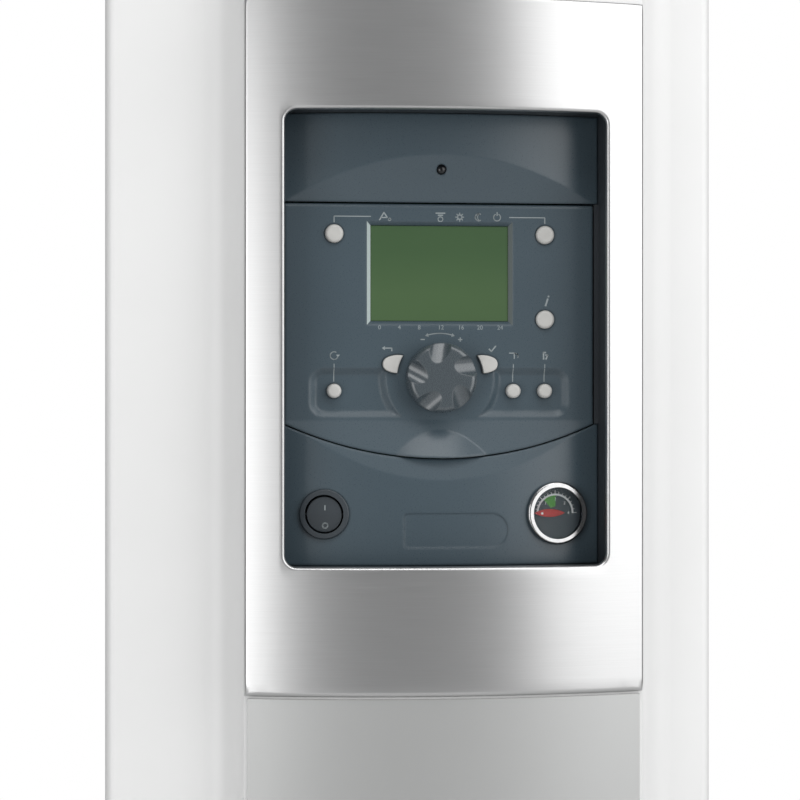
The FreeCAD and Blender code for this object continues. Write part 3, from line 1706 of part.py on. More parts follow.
# Fan impeller: back plate, hub and a ring of curved blades on a shaft in the motor
blades = 10
y_plate = y_fan_front + fan_wall + s.impeller_gap
y_plate_back = y_plate + s.impeller_sheet
y_blade_end = y_plate_back + s.blade_height
impeller_profile = [
    (zero, y_shaft_end + s.fan_shaft_clearance),
    (zero, y_blade_end),
    (s.impeller_hub_radius, y_plate_back),
    (s.impeller_radius, y_plate_back),
    (s.impeller_radius, y_plate),
    (s.fan_shaft_radius, y_plate),
    (s.fan_shaft_radius, y_shaft_end + s.fan_shaft_clearance),
]
impeller = turned("fan_impeller", impeller_profile)
blade_outer = s.impeller_radius - s.blade_margin
blade_path = [
    (s.blade_inner, zero),
    (blade_outer, s.blade_sweep),
    (blade_outer, s.blade_sweep + s.blade_sheet),
    (s.blade_inner, s.blade_sheet),
]
blade = prism(impeller, "y", y_blade_end, y_plate_back - s.impeller_sheet / 2, [blade_path])
doc.recompute()
ring_of_blades = impeller.newObject("PartDesign::PolarPattern", "Blades")
ring_of_blades.Originals = [blade]
ring_of_blades.Axis = (origin_feature(impeller, "Y_Axis"), [""])
ring_of_blades.Angle = 360
ring_of_blades.Occurrences = blades
impeller.Tip = ring_of_blades
place(impeller, (x_fan, zero, z_fan))
keep("fan_impeller", impeller)

# Mixing duct: cast manifold from the fan outlet to the port in the burner door
duct = new_body("duct_box")
z_duct_top = z_fan + s.fan_radius
z_duct_low = z_duct_top - s.duct_height
duct_shape = round_rectangle(
    x_outlet, s.duct_reach, z_duct_low, z_duct_top, s.duct_round
)
prism(duct, "y", y_fan_rear, y_fan_front, [duct_shape])
duct_wall = s.duct_wall
neck_radius = s.door_port_radius + duct_wall
duct_neck = rod(neck_radius, "y", (zero, y_door, z_exchanger), y_door - y_fan_rear)
duct_room = block(
    x_outlet - s.overrun,
    s.duct_reach - duct_wall,
    y_fan_front + duct_wall,
    y_fan_rear - duct_wall,
    z_fan + s.fan_outlet_low + duct_wall,
    z_duct_top - duct_wall,
)
duct_lower_room = block(
    -s.duct_reach,
    s.duct_reach - duct_wall,
    y_fan_front + duct_wall,
    y_fan_rear - duct_wall,
    z_duct_low + duct_wall,
    z_duct_top - duct_wall,
)
neck_room = rod(
    s.door_port_radius,
    "y",
    (zero, y_door + s.overrun, z_exchanger),
    y_door - y_fan_rear + 2 * duct_wall,
)
duct_solid = joined("duct_solid", duct, duct_neck)
keep("mixing_duct", without("mixing_duct", duct_solid, duct_room, duct_lower_room, neck_room))

# Gas valve: cast block against the fan inlet, with a round solenoid on its side
valve = new_body("valve_block")
valve_half = s.valve_width / 2
z_valve_low = z_fan - s.valve_height / 2
valve_shape = round_rectangle(
    x_fan - valve_half,
    x_fan + valve_half,
    z_valve_low,
    z_fan + s.valve_height / 2,
    s.valve_round,
)
y_valve_rear = y_fan_rear + s.valve_depth
prism(valve, "y", y_valve_rear, y_fan_rear, [valve_shape])
x_solenoid = x_fan - valve_half + s.valve_round - s.solenoid_length
solenoid = rod(
    s.solenoid_radius,
    "x",
    (x_solenoid, (y_fan_rear + y_valve_rear) / 2, z_fan),
    s.solenoid_length,
)
keep("gas_valve", joined("gas_valve", valve, solenoid))

# Flue duct: rises from the exchanger nozzle and widens to the socket for the flue pipe
z_socket_top = z_top + s.flue_stand
z_socket_low = z_socket_top - s.flue_socket_depth
duct_bore = s.flue_radius - s.flue_wall
socket_bore = s.flue_radius + s.flue_socket_clearance
socket_outer = socket_bore + s.flue_wall
z_duct_start = z_nozzle - s.nozzle_engagement
flue_profile = [
    (duct_bore, z_duct_start),
    (s.flue_radius, z_duct_start),
    (s.flue_radius, z_socket_low - s.flue_socket_taper),
    (socket_outer, z_socket_low),
    (socket_outer, z_socket_top),
    (socket_bore, z_socket_top),
    (socket_bore, z_socket_low),
    (duct_bore, z_socket_low),
]
flue_at = (zero, -s.nozzle_setback, zero)
keep("flue_duct", turned("flue_duct", flue_profile, flue_at, upright=True))

# Flue collar: stepped ring on the top panel's rim, whose spigot takes the outer air pipe
spigot_inner = s.air_spigot_radius - s.air_spigot_wall
flue_collar_profile = [
    (spigot_inner, z_top - s.panel_sheet),
    (spigot_foot, z_top - s.panel_sheet),
    (spigot_foot, z_seat),
    (s.air_spigot_radius, z_seat),
    (s.air_spigot_radius, z_top + s.air_spigot_height),
    (spigot_inner, z_top + s.air_spigot_height),
]
keep("flue_collar", turned("flue_collar", flue_collar_profile, flue_at, upright=True))

# Expansion vessel: flat round steel vessel on the back panel, with its rolled rim
y_vessel_front = y_back - s.vessel_depth
vessel_round = s.vessel_round
y_rim_rear = y_back - s.vessel_depth / 2 + s.vessel_rim_sheet / 2
vessel_profile = [
    (zero, y_vessel_front),
    (zero, y_back),
    (s.vessel_radius - vessel_round, y_back),
    (s.vessel_radius, y_back - vessel_round, vessel_round, "right"),
    (s.vessel_radius, y_rim_rear),
    (s.vessel_radius + s.vessel_rim, y_rim_rear),
    (s.vessel_radius + s.vessel_rim, y_rim_rear - s.vessel_rim_sheet),
    (s.vessel_radius, y_rim_rear - s.vessel_rim_sheet),
    (s.vessel_radius, y_vessel_front + vessel_round),
    (s.vessel_radius - vessel_round, y_vessel_front, vessel_round, "right"),
]
z_vessel = z_exchanger - s.exchanger_radius - s.vessel_drop - s.vessel_radius
vessel_at = (zero, zero, z_vessel)
keep("expansion_vessel", turned("expansion_vessel", vessel_profile, vessel_at))

# Plate heat exchanger: brazed pack lying over the two tap water pipes
z_stub_end = z_bottom - s.stub_length
z_stub_top = z_bottom - s.stub_gap
z_pack_low = z_bottom + s.plate_pack_base
z_pack_top = z_pack_low + s.plate_pack_height
x_pack_right = s.plate_pack_right
x_pack_left = x_pack_right - s.plate_pack_length
y_pack_rear = -s.stub_setback + s.plate_pack_depth / 2
y_pack_front = y_pack_rear - s.plate_pack_depth
pack = new_body("plate_exchanger")
pack_shape = round_rectangle(
    x_pack_left, x_pack_right, z_pack_low, z_pack_top, s.plate_pack_round
)
prism(pack, "y", y_pack_rear, y_pack_front, [pack_shape])
keep("plate_exchanger", pack)


def straight_pipe(label, name, z_end):
    """A pipe that rises from its threaded stub below the casing, bored from the stub's end."""
    stub = stub_radii[name]
    profile = [
        (s.stub_bore, z_stub_end),
        (stub, z_stub_end),
        (stub, z_stub_top),
        (s.pipe_radius, z_stub_top),
        (s.pipe_radius, z_end),
        (zero, z_end),
        (zero, z_stub_end + s.stub_bore_depth),
        (s.stub_bore, z_stub_end + s.stub_bore_depth),
    ]
    at = (stub_columns[name], -s.stub_setback, zero)
    return keep(label, turned(label, profile, at, upright=True))


straight_pipe("hot_water_pipe", "hot", z_pack_low)
straight_pipe("cold_water_pipe", "cold", z_pack_low)
straight_pipe("gas_pipe", "gas", z_valve_low)

# Flow pipe: from the exchanger's right port, jogged outward to its stub, with a branch to the pack
flow = new_body("flow_pipe")
x_flow = stub_columns["flow"]
x_port = s.stub_pitch
z_jog = -s.pipe_jog_drop
bend = s.pipe_bend
spine = flow.newObject("Sketcher::SketchObject", "Spine")
spine.AttachmentSupport = [(origin_feature(flow, "XZ_Plane"), "")]
spine.MapMode = "FlatFace"
spine.setExpression("AttachmentOffset.Base.z", s.stub_setback.text)
draw_path(
    spine,
    [
        (x_flow, z_stub_top),
        (x_flow, z_jog - bend),
        (x_flow - bend, z_jog, bend, "left"),
        (x_port + bend, z_jog),
        (x_port, z_jog + bend, bend, "right"),
        (x_port, port_low),
    ],
    closed=False,
)
flow_section = new_sketch(
    flow,
    "XY_Plane",
    z_stub_top,
    circles=[(x_flow, -s.stub_setback, s.pipe_radius)],
)
run = flow.newObject("PartDesign::AdditivePipe", "Run")
run.Profile = flow_section
run.Spine = (spine, [])
run.Transition = "Transformed"
stub_circle = [(x_flow, -s.stub_setback, stub_radii["flow"])]
prism(flow, "z", z_stub_end, z_stub_top, circles=stub_circle)
stub_hole = [(x_flow, -s.stub_setback, s.stub_bore)]
prism(
    flow,
    "z",
    z_stub_end - s.overrun,
    z_stub_end + s.stub_bore_depth,
    circles=stub_hole,
    remove=True,
)
z_branch = (z_pack_low + z_pack_top) / 2
branch = [(-s.stub_setback, z_branch, s.pipe_radius)]
prism(flow, "x", x_flow, x_pack_right, circles=branch)
keep("flow_pipe", flow)

# Pump body: cast volute on the return stub, with necks to the pack and to the return pipe
x_pump = stub_columns["return"]
z_pump = z_bottom + s.pump_rise
y_pump_rear = -s.stub_setback + s.pump_depth / 2
y_pump_front = y_pump_rear - s.pump_depth
volute = rod(s.pump_radius, "y", (x_pump, y_pump_rear, z_pump), s.pump_depth)
return_at = (x_pump, -s.stub_setback)
return_stub = rod(stub_radii["return"], "z", (*return_at, z_stub_end), z_stub_top - z_stub_end)
return_tube = rod(s.pipe_radius, "z", (*return_at, z_stub_top), z_pump - z_stub_top)
z_neck = z_pump + s.pump_radius + s.pump_neck_rise
neck = rod(s.port_radius, "z", (x_pump, -s.stub_setback, z_pump), z_neck - z_pump)
side_neck = rod(s.pipe_radius, "x", (x_pump, -s.stub_setback, z_branch), x_pack_left - x_pump)
pump_inner = s.pump_radius - s.pump_wall
pump_room = rod(
    pump_inner,
    "y",
    (x_pump, y_pump_rear - s.pump_wall, z_pump),
    s.pump_depth,
)
return_bore = rod(
    s.stub_bore, "z", (x_pump, -s.stub_setback, z_stub_end - s.overrun), s.stub_bore_depth
)
pump_solid = joined("pump_solid", volute, return_stub, return_tube, neck, side_neck)
keep("pump_body", without("pump_body", pump_solid, pump_room, return_bore))

# Pump motor: closes the volute from the front and holds the impeller's shaft
pump_bore = s.pump_shaft_radius + s.pump_shaft_clearance
y_pump_motor = y_pump_front - s.pump_motor_length
y_pump_shaft = y_pump_front - s.pump_shaft_length
pump_motor_round = s.pump_motor_round
pump_motor_profile = [
    (pump_bore, y_pump_shaft),
    (pump_bore, y_pump_front),
    (s.pump_motor_radius, y_pump_front),
    (s.pump_motor_radius, y_pump_motor + pump_motor_round),
    (s.pump_motor_radius - pump_motor_round, y_pump_motor, pump_motor_round, "right"),
    (zero, y_pump_motor),
    (zero, y_pump_shaft),
]
pump_at = (x_pump, zero, z_pump)
keep("pump_motor", turned("pump_motor", pump_motor_profile, pump_at))
y_rotor = y_pump_front + s.pump_impeller_gap
rotor_profile = [
    (zero, y_pump_shaft + s.pump_shaft_clearance),
    (zero, y_rotor + s.pump_impeller_sheet),
    (s.pump_impeller_radius, y_rotor + s.pump_impeller_sheet),
    (s.pump_impeller_radius, y_rotor),
    (s.pump_shaft_radius, y_rotor),
    (s.pump_shaft_radius, y_pump_shaft + s.pump_shaft_clearance),
]
keep("pump_impeller", turned("pump_impeller", rotor_profile, pump_at))

# Return pipe: from the pump's upper neck straight up to the exchanger's left port
return_pipe = rod(s.pipe_radius, "z", (x_pump, -s.stub_setback, z_neck), port_low - z_neck)
keep("return_pipe", return_pipe)

# Condensate trap: bottle under the exchanger's sump with a drain tail through the bottom panel
z_trap_low = z_bottom + s.trap_rise
z_trap_top = z_trap_low + s.trap_height
trap_round = s.trap_round
trap_profile = [
    (zero, z_bottom - s.trap_tail_length),
    (s.trap_tail_radius, z_bottom - s.trap_tail_length),
    (s.trap_tail_radius, z_stub_top),
    (s.trap_tube_radius, z_stub_top),
    (s.trap_tube_radius, z_trap_low),
    (s.trap_radius - trap_round, z_trap_low),
    (s.trap_radius, z_trap_low + trap_round, trap_round, "left"),
    (s.trap_radius, z_trap_top - trap_round),
    (s.trap_radius - trap_round, z_trap_top, trap_round, "left"),
    (s.trap_neck_radius, z_trap_top),
    (s.trap_neck_radius, sump_low),
    (zero, sump_low),
]
trap_at = (zero, y_sump, zero)
keep("condensate_trap", turned("condensate_trap", trap_profile, trap_at, upright=True))

# Every object must have come out sound before anything is written
doc.recompute()
faults = []
for item in doc.Objects:
    if "Invalid" in item.State or "Error" in item.State:
        faults.append(f"{item.Label}: {item.State}")
for label, item in nodes.items():
    if item.Shape.isNull() or not item.Shape.isValid() or not item.Shape.Solids:
        faults.append(f"{label}: no sound solid")
if faults:
    raise RuntimeError("; ".join(faults))

os.makedirs("parts", exist_ok=True)
for label, item in nodes.items():
    item.Shape.exportStep(os.path.join("parts", f"{label}.step"))
print(f"{len(nodes)} pieces")
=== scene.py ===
import json
import math

import bmesh
import bpy
from mathutils import Matrix, Vector
from mathutils.bvhtree import BVHTree


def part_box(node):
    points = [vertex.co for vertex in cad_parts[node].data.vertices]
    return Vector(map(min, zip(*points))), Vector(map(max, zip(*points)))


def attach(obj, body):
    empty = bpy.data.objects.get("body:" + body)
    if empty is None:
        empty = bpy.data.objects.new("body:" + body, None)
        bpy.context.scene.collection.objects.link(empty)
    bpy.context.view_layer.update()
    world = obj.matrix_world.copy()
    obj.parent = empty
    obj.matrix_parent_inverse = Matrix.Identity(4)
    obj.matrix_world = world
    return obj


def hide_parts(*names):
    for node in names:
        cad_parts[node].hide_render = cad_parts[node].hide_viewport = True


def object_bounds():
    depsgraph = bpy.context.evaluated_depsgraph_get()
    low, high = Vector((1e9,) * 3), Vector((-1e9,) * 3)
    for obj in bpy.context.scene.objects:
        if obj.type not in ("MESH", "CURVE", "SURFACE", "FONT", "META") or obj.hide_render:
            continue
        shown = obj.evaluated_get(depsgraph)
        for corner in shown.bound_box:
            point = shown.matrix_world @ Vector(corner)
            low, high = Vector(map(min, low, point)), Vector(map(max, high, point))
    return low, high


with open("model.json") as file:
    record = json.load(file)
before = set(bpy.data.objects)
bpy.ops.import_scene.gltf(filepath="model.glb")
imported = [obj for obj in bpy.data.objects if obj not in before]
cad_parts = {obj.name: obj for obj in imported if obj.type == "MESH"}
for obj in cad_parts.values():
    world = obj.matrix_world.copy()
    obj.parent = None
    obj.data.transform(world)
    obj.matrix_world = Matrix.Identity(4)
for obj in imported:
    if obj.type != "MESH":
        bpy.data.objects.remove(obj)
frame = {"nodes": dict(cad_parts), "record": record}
cad_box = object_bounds()
nodes = frame["nodes"]

# Wall bracket, back panel, cross rails and exchanger bracket: folded galvanised sheet.
# The zinc shows as pale and dark spangle, each crystal with its own gloss.
# The bracket is screwed to the wall; the other sheets are screwed and riveted together.


def new_material(name):
    """A new material, with its node tree and its main shader."""
    material = bpy.data.materials.new(name)
    material.use_nodes = True
    return material, material.node_tree, material.node_tree.nodes["Principled BSDF"]


def add_node(tree, kind, links=None, **settings):
    """Adds a node. Settings name its properties, or with spaces as underscores its inputs."""
    node = tree.nodes.new(kind)
    for key, value in settings.items():
        socket = node.inputs.get(key.replace("_", " "))
        if socket is None:
            setattr(node, key, value)
        else:
            socket.default_value = value
    for socket, source in (links or {}).items():
        tree.links.new(source, node.inputs[socket])
    return node


def noise(tree, scale, detail=3.0, stretch=(1, 1, 1)):
    """Noise over the object's own coordinates, with features about 1 / scale metres wide."""
    place = add_node(tree, "ShaderNodeTexCoord").outputs["Object"]
    mapped = add_node(tree, "ShaderNodeMapping", {"Vector": place}, Scale=stretch)
    texture = add_node(
        tree, "ShaderNodeTexNoise", {"Vector": mapped.outputs["Vector"]}, Scale=scale, Detail=detail
    )
    return texture.outputs["Fac"]


RAMP_START, RAMP_END = 0.3, 0.7


def between(tree, factor, low, high):
    """A value or colour that runs from low to high as the factor goes over its middle range."""
    ramp = add_node(tree, "ShaderNodeValToRGB", {"Fac": factor})
    ends = ramp.color_ramp.elements
    ends[0].position, ends[1].position = RAMP_START, RAMP_END
    for end, value in zip(ends, (low, high)):
        end.color = (*value, 1) if isinstance(value, tuple) else (value, value, value, 1)
    return ramp.outputs["Color"]


def dress(material, *names):
    """Gives CAD nodes a material."""
    for name in names:
        slots = nodes[name].data.materials
        slots.clear()
        slots.append(material)


galvanised, tree, shader = new_material("galvanised_steel")
place = add_node(tree, "ShaderNodeTexCoord").outputs["Object"]
spangle = add_node(tree, "ShaderNodeTexVoronoi", {"Vector": place}, Scale=160)
crystal = add_node(tree, "ShaderNodeSeparateColor", {"Color": spangle.outputs["Color"]})
zinc = between(tree, crystal.outputs["Red"], (0.5, 0.51, 0.52), (0.56, 0.57, 0.58))
tree.links.new(zinc, shader.inputs["Base Color"])
tree.links.new(between(tree, crystal.outputs["Green"], 0.4, 0.47), shader.inputs["Roughness"])
crystal_edge = add_node(
    tree, "ShaderNodeBump", {"Height": spangle.outputs["Distance"]}, Strength=0.05, Distance=0.0004
)
tree.links.new(crystal_edge.outputs["Normal"], shader.inputs["Normal"])
shader.inputs["Metallic"].default_value = 0.85
dress(galvanised, "back_panel", "wall_bracket", "cross_rails", "exchanger_bracket")

# Side panels, top panel and bottom panel: folded steel sheet in a white powder coat.
# The coat is smooth and slightly uneven, like orange peel.
# The sides are flanged at the rear and screwed there.


def surface(name, low, high, rough, metallic=0.0, grain=(900, 0.02), patch=9, stretch=(1, 1, 1), edge=0.0):
    """A finish whose colour drifts between two tones, with uneven gloss and a fine relief."""
    material, tree, shader = new_material(name)
    fine = noise(tree, grain[0], 2.0, stretch)
    tree.links.new(between(tree, noise(tree, patch), low, high), shader.inputs["Base Color"])
    tree.links.new(between(tree, fine, rough - 0.05, rough + 0.05), shader.inputs["Roughness"])
    relief = add_node(tree, "ShaderNodeBump", {"Height": fine}, Strength=grain[1], Distance=0.0005)
    if edge:
        soft_edge = add_node(tree, "ShaderNodeBevel", Radius=edge)
        tree.links.new(soft_edge.outputs["Normal"], relief.inputs["Normal"])
    tree.links.new(relief.outputs["Normal"], shader.inputs["Normal"])
    shader.inputs["Metallic"].default_value = metallic
    return material


white_enamel = surface("white_enamel", (0.86, 0.86, 0.855), (0.89, 0.89, 0.885), 0.36, grain=(700, 0.03))
dress(white_enamel, "left_side_panel", "right_side_panel", "top_panel", "bottom_panel")

# Case screws: zinc-plated socket heads in a row down each rear flange, and round the flue seat.
# Each head is turned with a rounded crown and a hexagon socket.


def lathe(rings, sides):
    """A closed mesh turned about Z from (radius, height) rings, low to high."""
    cloud = bmesh.new()
    loops = []
    for radius, height in rings:
        corners = [2 * math.pi * i / sides for i in range(sides)]
        loops.append(
            [cloud.verts.new((radius * math.cos(a), radius * math.sin(a), height)) for a in corners]
        )
    for lower, upper in zip(loops, loops[1:]):
        for i in range(sides):
            j = (i + 1) % sides
            cloud.faces.new((lower[i], lower[j], upper[j], upper[i]))
    cloud.faces.new(reversed(loops[0]))
    cloud.faces.new(loops[-1])
    bmesh.ops.recalc_face_normals(cloud, faces=cloud.faces)
    return cloud


def mesh_from(cloud, label):
    """A mesh with the cloud's vertices and faces, which frees the cloud."""
    mesh = bpy.data.meshes.new(label)
    cloud.to_mesh(mesh)
    cloud.free()
    return mesh


def node_group(name, inputs):
    """An empty geometry group with a geometry input, the named inputs and a geometry output."""
    tree = bpy.data.node_groups.new(name, "GeometryNodeTree")
    tree.interface.new_socket("Geometry", in_out="OUTPUT", socket_type="NodeSocketGeometry")
    tree.interface.new_socket("Geometry", in_out="INPUT", socket_type="NodeSocketGeometry")
    for label, kind in inputs.items():
        tree.interface.new_socket(label, in_out="INPUT", socket_type=f"NodeSocket{kind}")
    start = tree.nodes.new("NodeGroupInput")
    return tree, start.outputs


def close_group(tree, geometry, material):
    """Ends a group: instances made real, then the finish."""
    real = add_node(tree, "GeometryNodeRealizeInstances", {"Geometry": geometry})
    finish = add_node(
        tree, "GeometryNodeSetMaterial", {"Geometry": real.outputs["Geometry"], "Material": material}
    )
    end = tree.nodes.new("NodeGroupOutput")
    tree.links.new(finish.outputs["Geometry"], end.inputs["Geometry"])


def grow(label, seed, tree, values, turn):
    """Runs a group on a seed mesh and returns a plain piece, with its place in its mesh."""
    piece = bpy.data.objects.new(label, seed)
    bpy.context.collection.objects.link(piece)
    pattern = piece.modifiers.new("pattern", "NODES")
    pattern.node_group = tree
    for item in tree.interface.items_tree:
        if item.in_out == "INPUT" and item.name in values:
            pattern[item.identifier] = values[item.name]
    made = piece.evaluated_get(bpy.context.evaluated_depsgraph_get())
    mesh = bpy.data.meshes.new_from_object(made)
    piece.modifiers.remove(pattern)
    piece.data = mesh
    mesh.transform(turn)
    return piece


def surface_of(name):
    """A CAD node's surface, ready for rays."""
    mesh = nodes[name].data
    return BVHTree.FromPolygons([v.co for v in mesh.vertices], [p.vertices for p in mesh.polygons])


head_radius, head_height, head_sides = 0.0036, 0.0024, 18
flange_screws, flange_margin = 6, 0.045
screw_rings = [
    (head_radius, 0.0),
    (head_radius, 0.6 * head_height),
    (0.8 * head_radius, 0.92 * head_height),
    (0.5 * head_radius, head_height),
    (0.46 * head_radius, 0.3 * head_height),
]
zinc_plate = surface("zinc_plate", (0.5, 0.51, 0.53), (0.62, 0.62, 0.6), 0.3, 1.0, (800, 0.04), 300)

row_tree, given = node_group("screw_row", {"Count": "Int", "Step": "Vector", "Finish": "Material"})
line = add_node(row_tree, "GeometryNodeMeshLine", {"Count": given["Count"], "Offset": given["Step"]})
stand = add_node(
    row_tree,
    "GeometryNodeInstanceOnPoints",
    {"Points": line.outputs["Mesh"], "Instance": given["Geometry"]},
)
close_group(row_tree, stand.outputs["Instances"], given["Finish"])

ring_tree, given = node_group("fixing_ring", {"Count": "Int", "Radius": "Float", "Finish": "Material"})
circle = add_node(
    ring_tree, "GeometryNodeMeshCircle", {"Vertices": given["Count"], "Radius": given["Radius"]}
)
stand = add_node(
    ring_tree,
    "GeometryNodeInstanceOnPoints",
    {"Points": circle.outputs["Mesh"], "Instance": given["Geometry"]},
)
close_group(ring_tree, stand.outputs["Instances"], given["Finish"])

to_rear = Matrix.Rotation(math.radians(-90), 4, "X")
for side in ("left", "right"):
    flange = f"{side}_side_panel"
    low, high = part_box(flange)
    column = (low[0] + high[0]) / 2
    z_low, z_high = low[2] + flange_margin, high[2] - flange_margin
    rear = surface_of(flange).ray_cast(Vector((column, 1, z_low)), Vector((0, -1, 0)))[0]
    step = (0, -(z_high - z_low) / (flange_screws - 1), 0)
    screws = grow(
        f"{side}_flange_screws",
        mesh_from(lathe(screw_rings, head_sides), "screw_head"),
        row_tree,
        {"Count": flange_screws, "Step": step, "Finish": zinc_plate},
        Matrix.Translation((column, rear.y, z_low)) @ to_rear,
    )
    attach(screws, "casing")

# Flue duct and air spigot: white enamelled tubes, one inside the other, over the exchanger.
# The spigot's seat is held on the top panel by four screws.
flue_white = surface("flue_enamel", (0.76, 0.76, 0.75), (0.81, 0.81, 0.8), 0.38, grain=(600, 0.04))
dress(flue_white, "flue_duct", "flue_collar")
seat_screws, seat_radius = 4, 0.0575
low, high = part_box("flue_collar")
seat_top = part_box("top_panel")[1][2]
seat_ring = grow(
    "flue_seat_screws",
    mesh_from(lathe(screw_rings, head_sides), "screw_head"),
    ring_tree,
    {"Count": seat_screws, "Radius": seat_radius, "Finish": zinc_plate},
    Matrix.Translation(((low[0] + high[0]) / 2, (low[1] + high[1]) / 2, seat_top))
    @ Matrix.Rotation(math.radians(180 / seat_screws), 4, "Z"),
)
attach(seat_ring, "casing")

# Heat exchanger, coil, burner tube: drawn and wound stainless steel.
# The plate exchanger beside the pump is a brazed pack; the lips of its plates stand out all round.
stainless = surface(
    "stainless_steel", (0.5, 0.49, 0.47), (0.6, 0.59, 0.57), 0.3, 1.0, (60, 0.05), 14, (40, 1, 40)
)
dress(stainless, "heat_exchanger", "exchanger_coil", "burner_tube", "plate_exchanger")
low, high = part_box("plate_exchanger")
plates, plate_step = 23, 0.0025
lip, lip_round, lip_steps = 0.0008, 0.012, 6
lip_profile = [(-0.0006, 0.0), (-0.0004, lip), (0.0004, lip), (0.0006, 0.0)]
corners = []
for cx, cz, start in (
    (high[0] - lip_round, high[2] - lip_round, 0),
    (low[0] + lip_round, high[2] - lip_round, 90),
    (low[0] + lip_round, low[2] + lip_round, 180),
    (high[0] - lip_round, low[2] + lip_round, 270),
):
    for i in range(lip_steps + 1):
        a = math.radians(start + 90 * i / lip_steps)
        corners.append((cx, cz, math.cos(a), math.sin(a)))
cloud = bmesh.new()
rows = []
for y, out in lip_profile:
    reach = lip_round + out
    rows.append([cloud.verts.new((cx + reach * ca, y, cz + reach * sa)) for cx, cz, ca, sa in corners])
for near_row, far_row in zip(rows, rows[1:]):
    for i in range(len(corners)):
        j = (i + 1) % len(corners)
        cloud.faces.new((near_row[i], near_row[j], far_row[j], far_row[i]))
bmesh.ops.recalc_face_normals(cloud, faces=cloud.faces)
plate_lips = grow(
    "plate_lips",
    mesh_from(cloud, "plate_lip"),
    row_tree,
    {"Count": plates, "Step": (0, -plate_step, 0), "Finish": stainless},
    Matrix.Translation((0, high[1] - plate_step, 0)),
)
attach(plate_lips, "casing")

# Burner door, mixing duct, fan housing and gas valve: pressure-cast aluminium, left rough.
# Six nuts on studs clamp the door against the exchanger's flange.
cast = surface("cast_aluminium", (0.46, 0.46, 0.46), (0.56, 0.56, 0.555), 0.5, 0.9, (480, 0.25), 25)
dress(cast, "burner_door", "mixing_duct", "fan_housing", "gas_valve")
low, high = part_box("burner_door")
nut_across, nut_height, nut_sides = 0.0058, 0.0045, 6
stud_radius, stud_count, stud_inset = 0.0026, 6, 0.0065
nut_rings = [
    (nut_across, 0.0),
    (nut_across, 0.8 * nut_height),
    (0.86 * nut_across, nut_height),
    (stud_radius, nut_height),
    (stud_radius, 1.5 * nut_height),
    (0.7 * stud_radius, 1.62 * nut_height),
]
to_front = Matrix.Rotation(math.radians(90), 4, "X")
door_nuts = grow(
    "door_nuts",
    mesh_from(lathe(nut_rings, nut_sides), "door_nut"),
    ring_tree,
    {"Count": stud_count, "Radius": (high[0] - low[0]) / 2 - stud_inset, "Finish": zinc_plate},
    Matrix.Translation(((low[0] + high[0]) / 2, low[1], (low[2] + high[2]) / 2))
    @ to_front
    @ Matrix.Rotation(math.radians(180 / stud_count), 4, "Z"),
)
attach(door_nuts, "casing")

# Fan wheel, pump wheel and their motors: glass-filled grey plastic and painted cans.
# The wheels are moulded and pressed on the motor shafts, so they spin inside their housings.
grey_plastic = surface("grey_plastic", (0.11, 0.11, 0.115), (0.14, 0.14, 0.145), 0.45, grain=(1500, 0.05))
dress(grey_plastic, "fan_impeller", "pump_impeller", "fan_motor", "pump_motor")

# Expansion vessel: two pressed steel halves with a rolled rim, enamelled red.
# The pump's volute is an iron casting in thin dark paint.
red_enamel = surface("red_enamel", (0.34, 0.022, 0.018), (0.42, 0.03, 0.024), 0.3, grain=(500, 0.05))
dress(red_enamel, "expansion_vessel")
pump_paint = surface("pump_casting", (0.05, 0.055, 0.06), (0.075, 0.08, 0.085), 0.5, 0.2, (420, 0.2))
dress(pump_paint, "pump_body")

# Pipes: drawn copper, slightly dulled, ending below the casing in stubs with a pipe thread.
# The thread is a ridge wound round each stub, fourteen turns to the inch.
copper = surface("copper_tube", (0.58, 0.27, 0.16), (0.68, 0.35, 0.22), 0.3, 1.0, (90, 0.03), 30)
dress(copper, "flow_pipe", "return_pipe", "hot_water_pipe", "cold_water_pipe", "gas_pipe")
thread_pitch, thread_length, thread_ridge, thread_start = 0.001814, 0.028, 0.00042, 0.0015
thread_tree, given = node_group(
    "pipe_thread",
    {"Radius": "Float", "Turns": "Float", "Length": "Float", "Ridge": "Float", "Finish": "Material"},
)
helix = add_node(
    thread_tree,
    "GeometryNodeCurveSpiral",
    {
        "Rotations": given["Turns"],
        "Start Radius": given["Radius"],
        "End Radius": given["Radius"],
        "Height": given["Length"],
    },
    Resolution=28,
)
ridge = add_node(thread_tree, "GeometryNodeCurvePrimitiveCircle", {"Radius": given["Ridge"]}, Resolution=4)
wound = add_node(
    thread_tree,
    "GeometryNodeCurveToMesh",
    {"Curve": helix.outputs["Curve"], "Profile Curve": ridge.outputs["Curve"]},
    Fill_Caps=True,
)
close_group(thread_tree, wound.outputs["Mesh"], given["Finish"])
for mount in frame["record"]["mounts"]:
    if not mount["name"].endswith("_connection"):
        continue
    x, y, z = mount["pos_m"]
    stub_end = z - mount["dims"]["length_mm"] / 2000
    thread = grow(
        mount["name"].replace("connection", "thread"),
        bpy.data.meshes.new("thread"),
        thread_tree,
        {
            "Radius": mount["dims"]["r_mm"] / 1000,
            "Turns": thread_length / thread_pitch,
            "Length": thread_length,
            "Ridge": thread_ridge,
            "Finish": copper,
        },
        Matrix.Translation((x, y, stub_end + thread_start)),
    )
    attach(thread, "casing")

# Control box, operator back, condensate trap, encoder and gauge case: nearly black plastic.
# Moulded with a fine spark-eroded grain; the box is clipped between the cross rails.
black = surface("black_plastic", (0.026, 0.031, 0.037), (0.036, 0.042, 0.049), 0.45, grain=(1800, 0.06))
dress(black, "control_box", "operator_back", "gauge_case", "encoder", "condensate_trap")

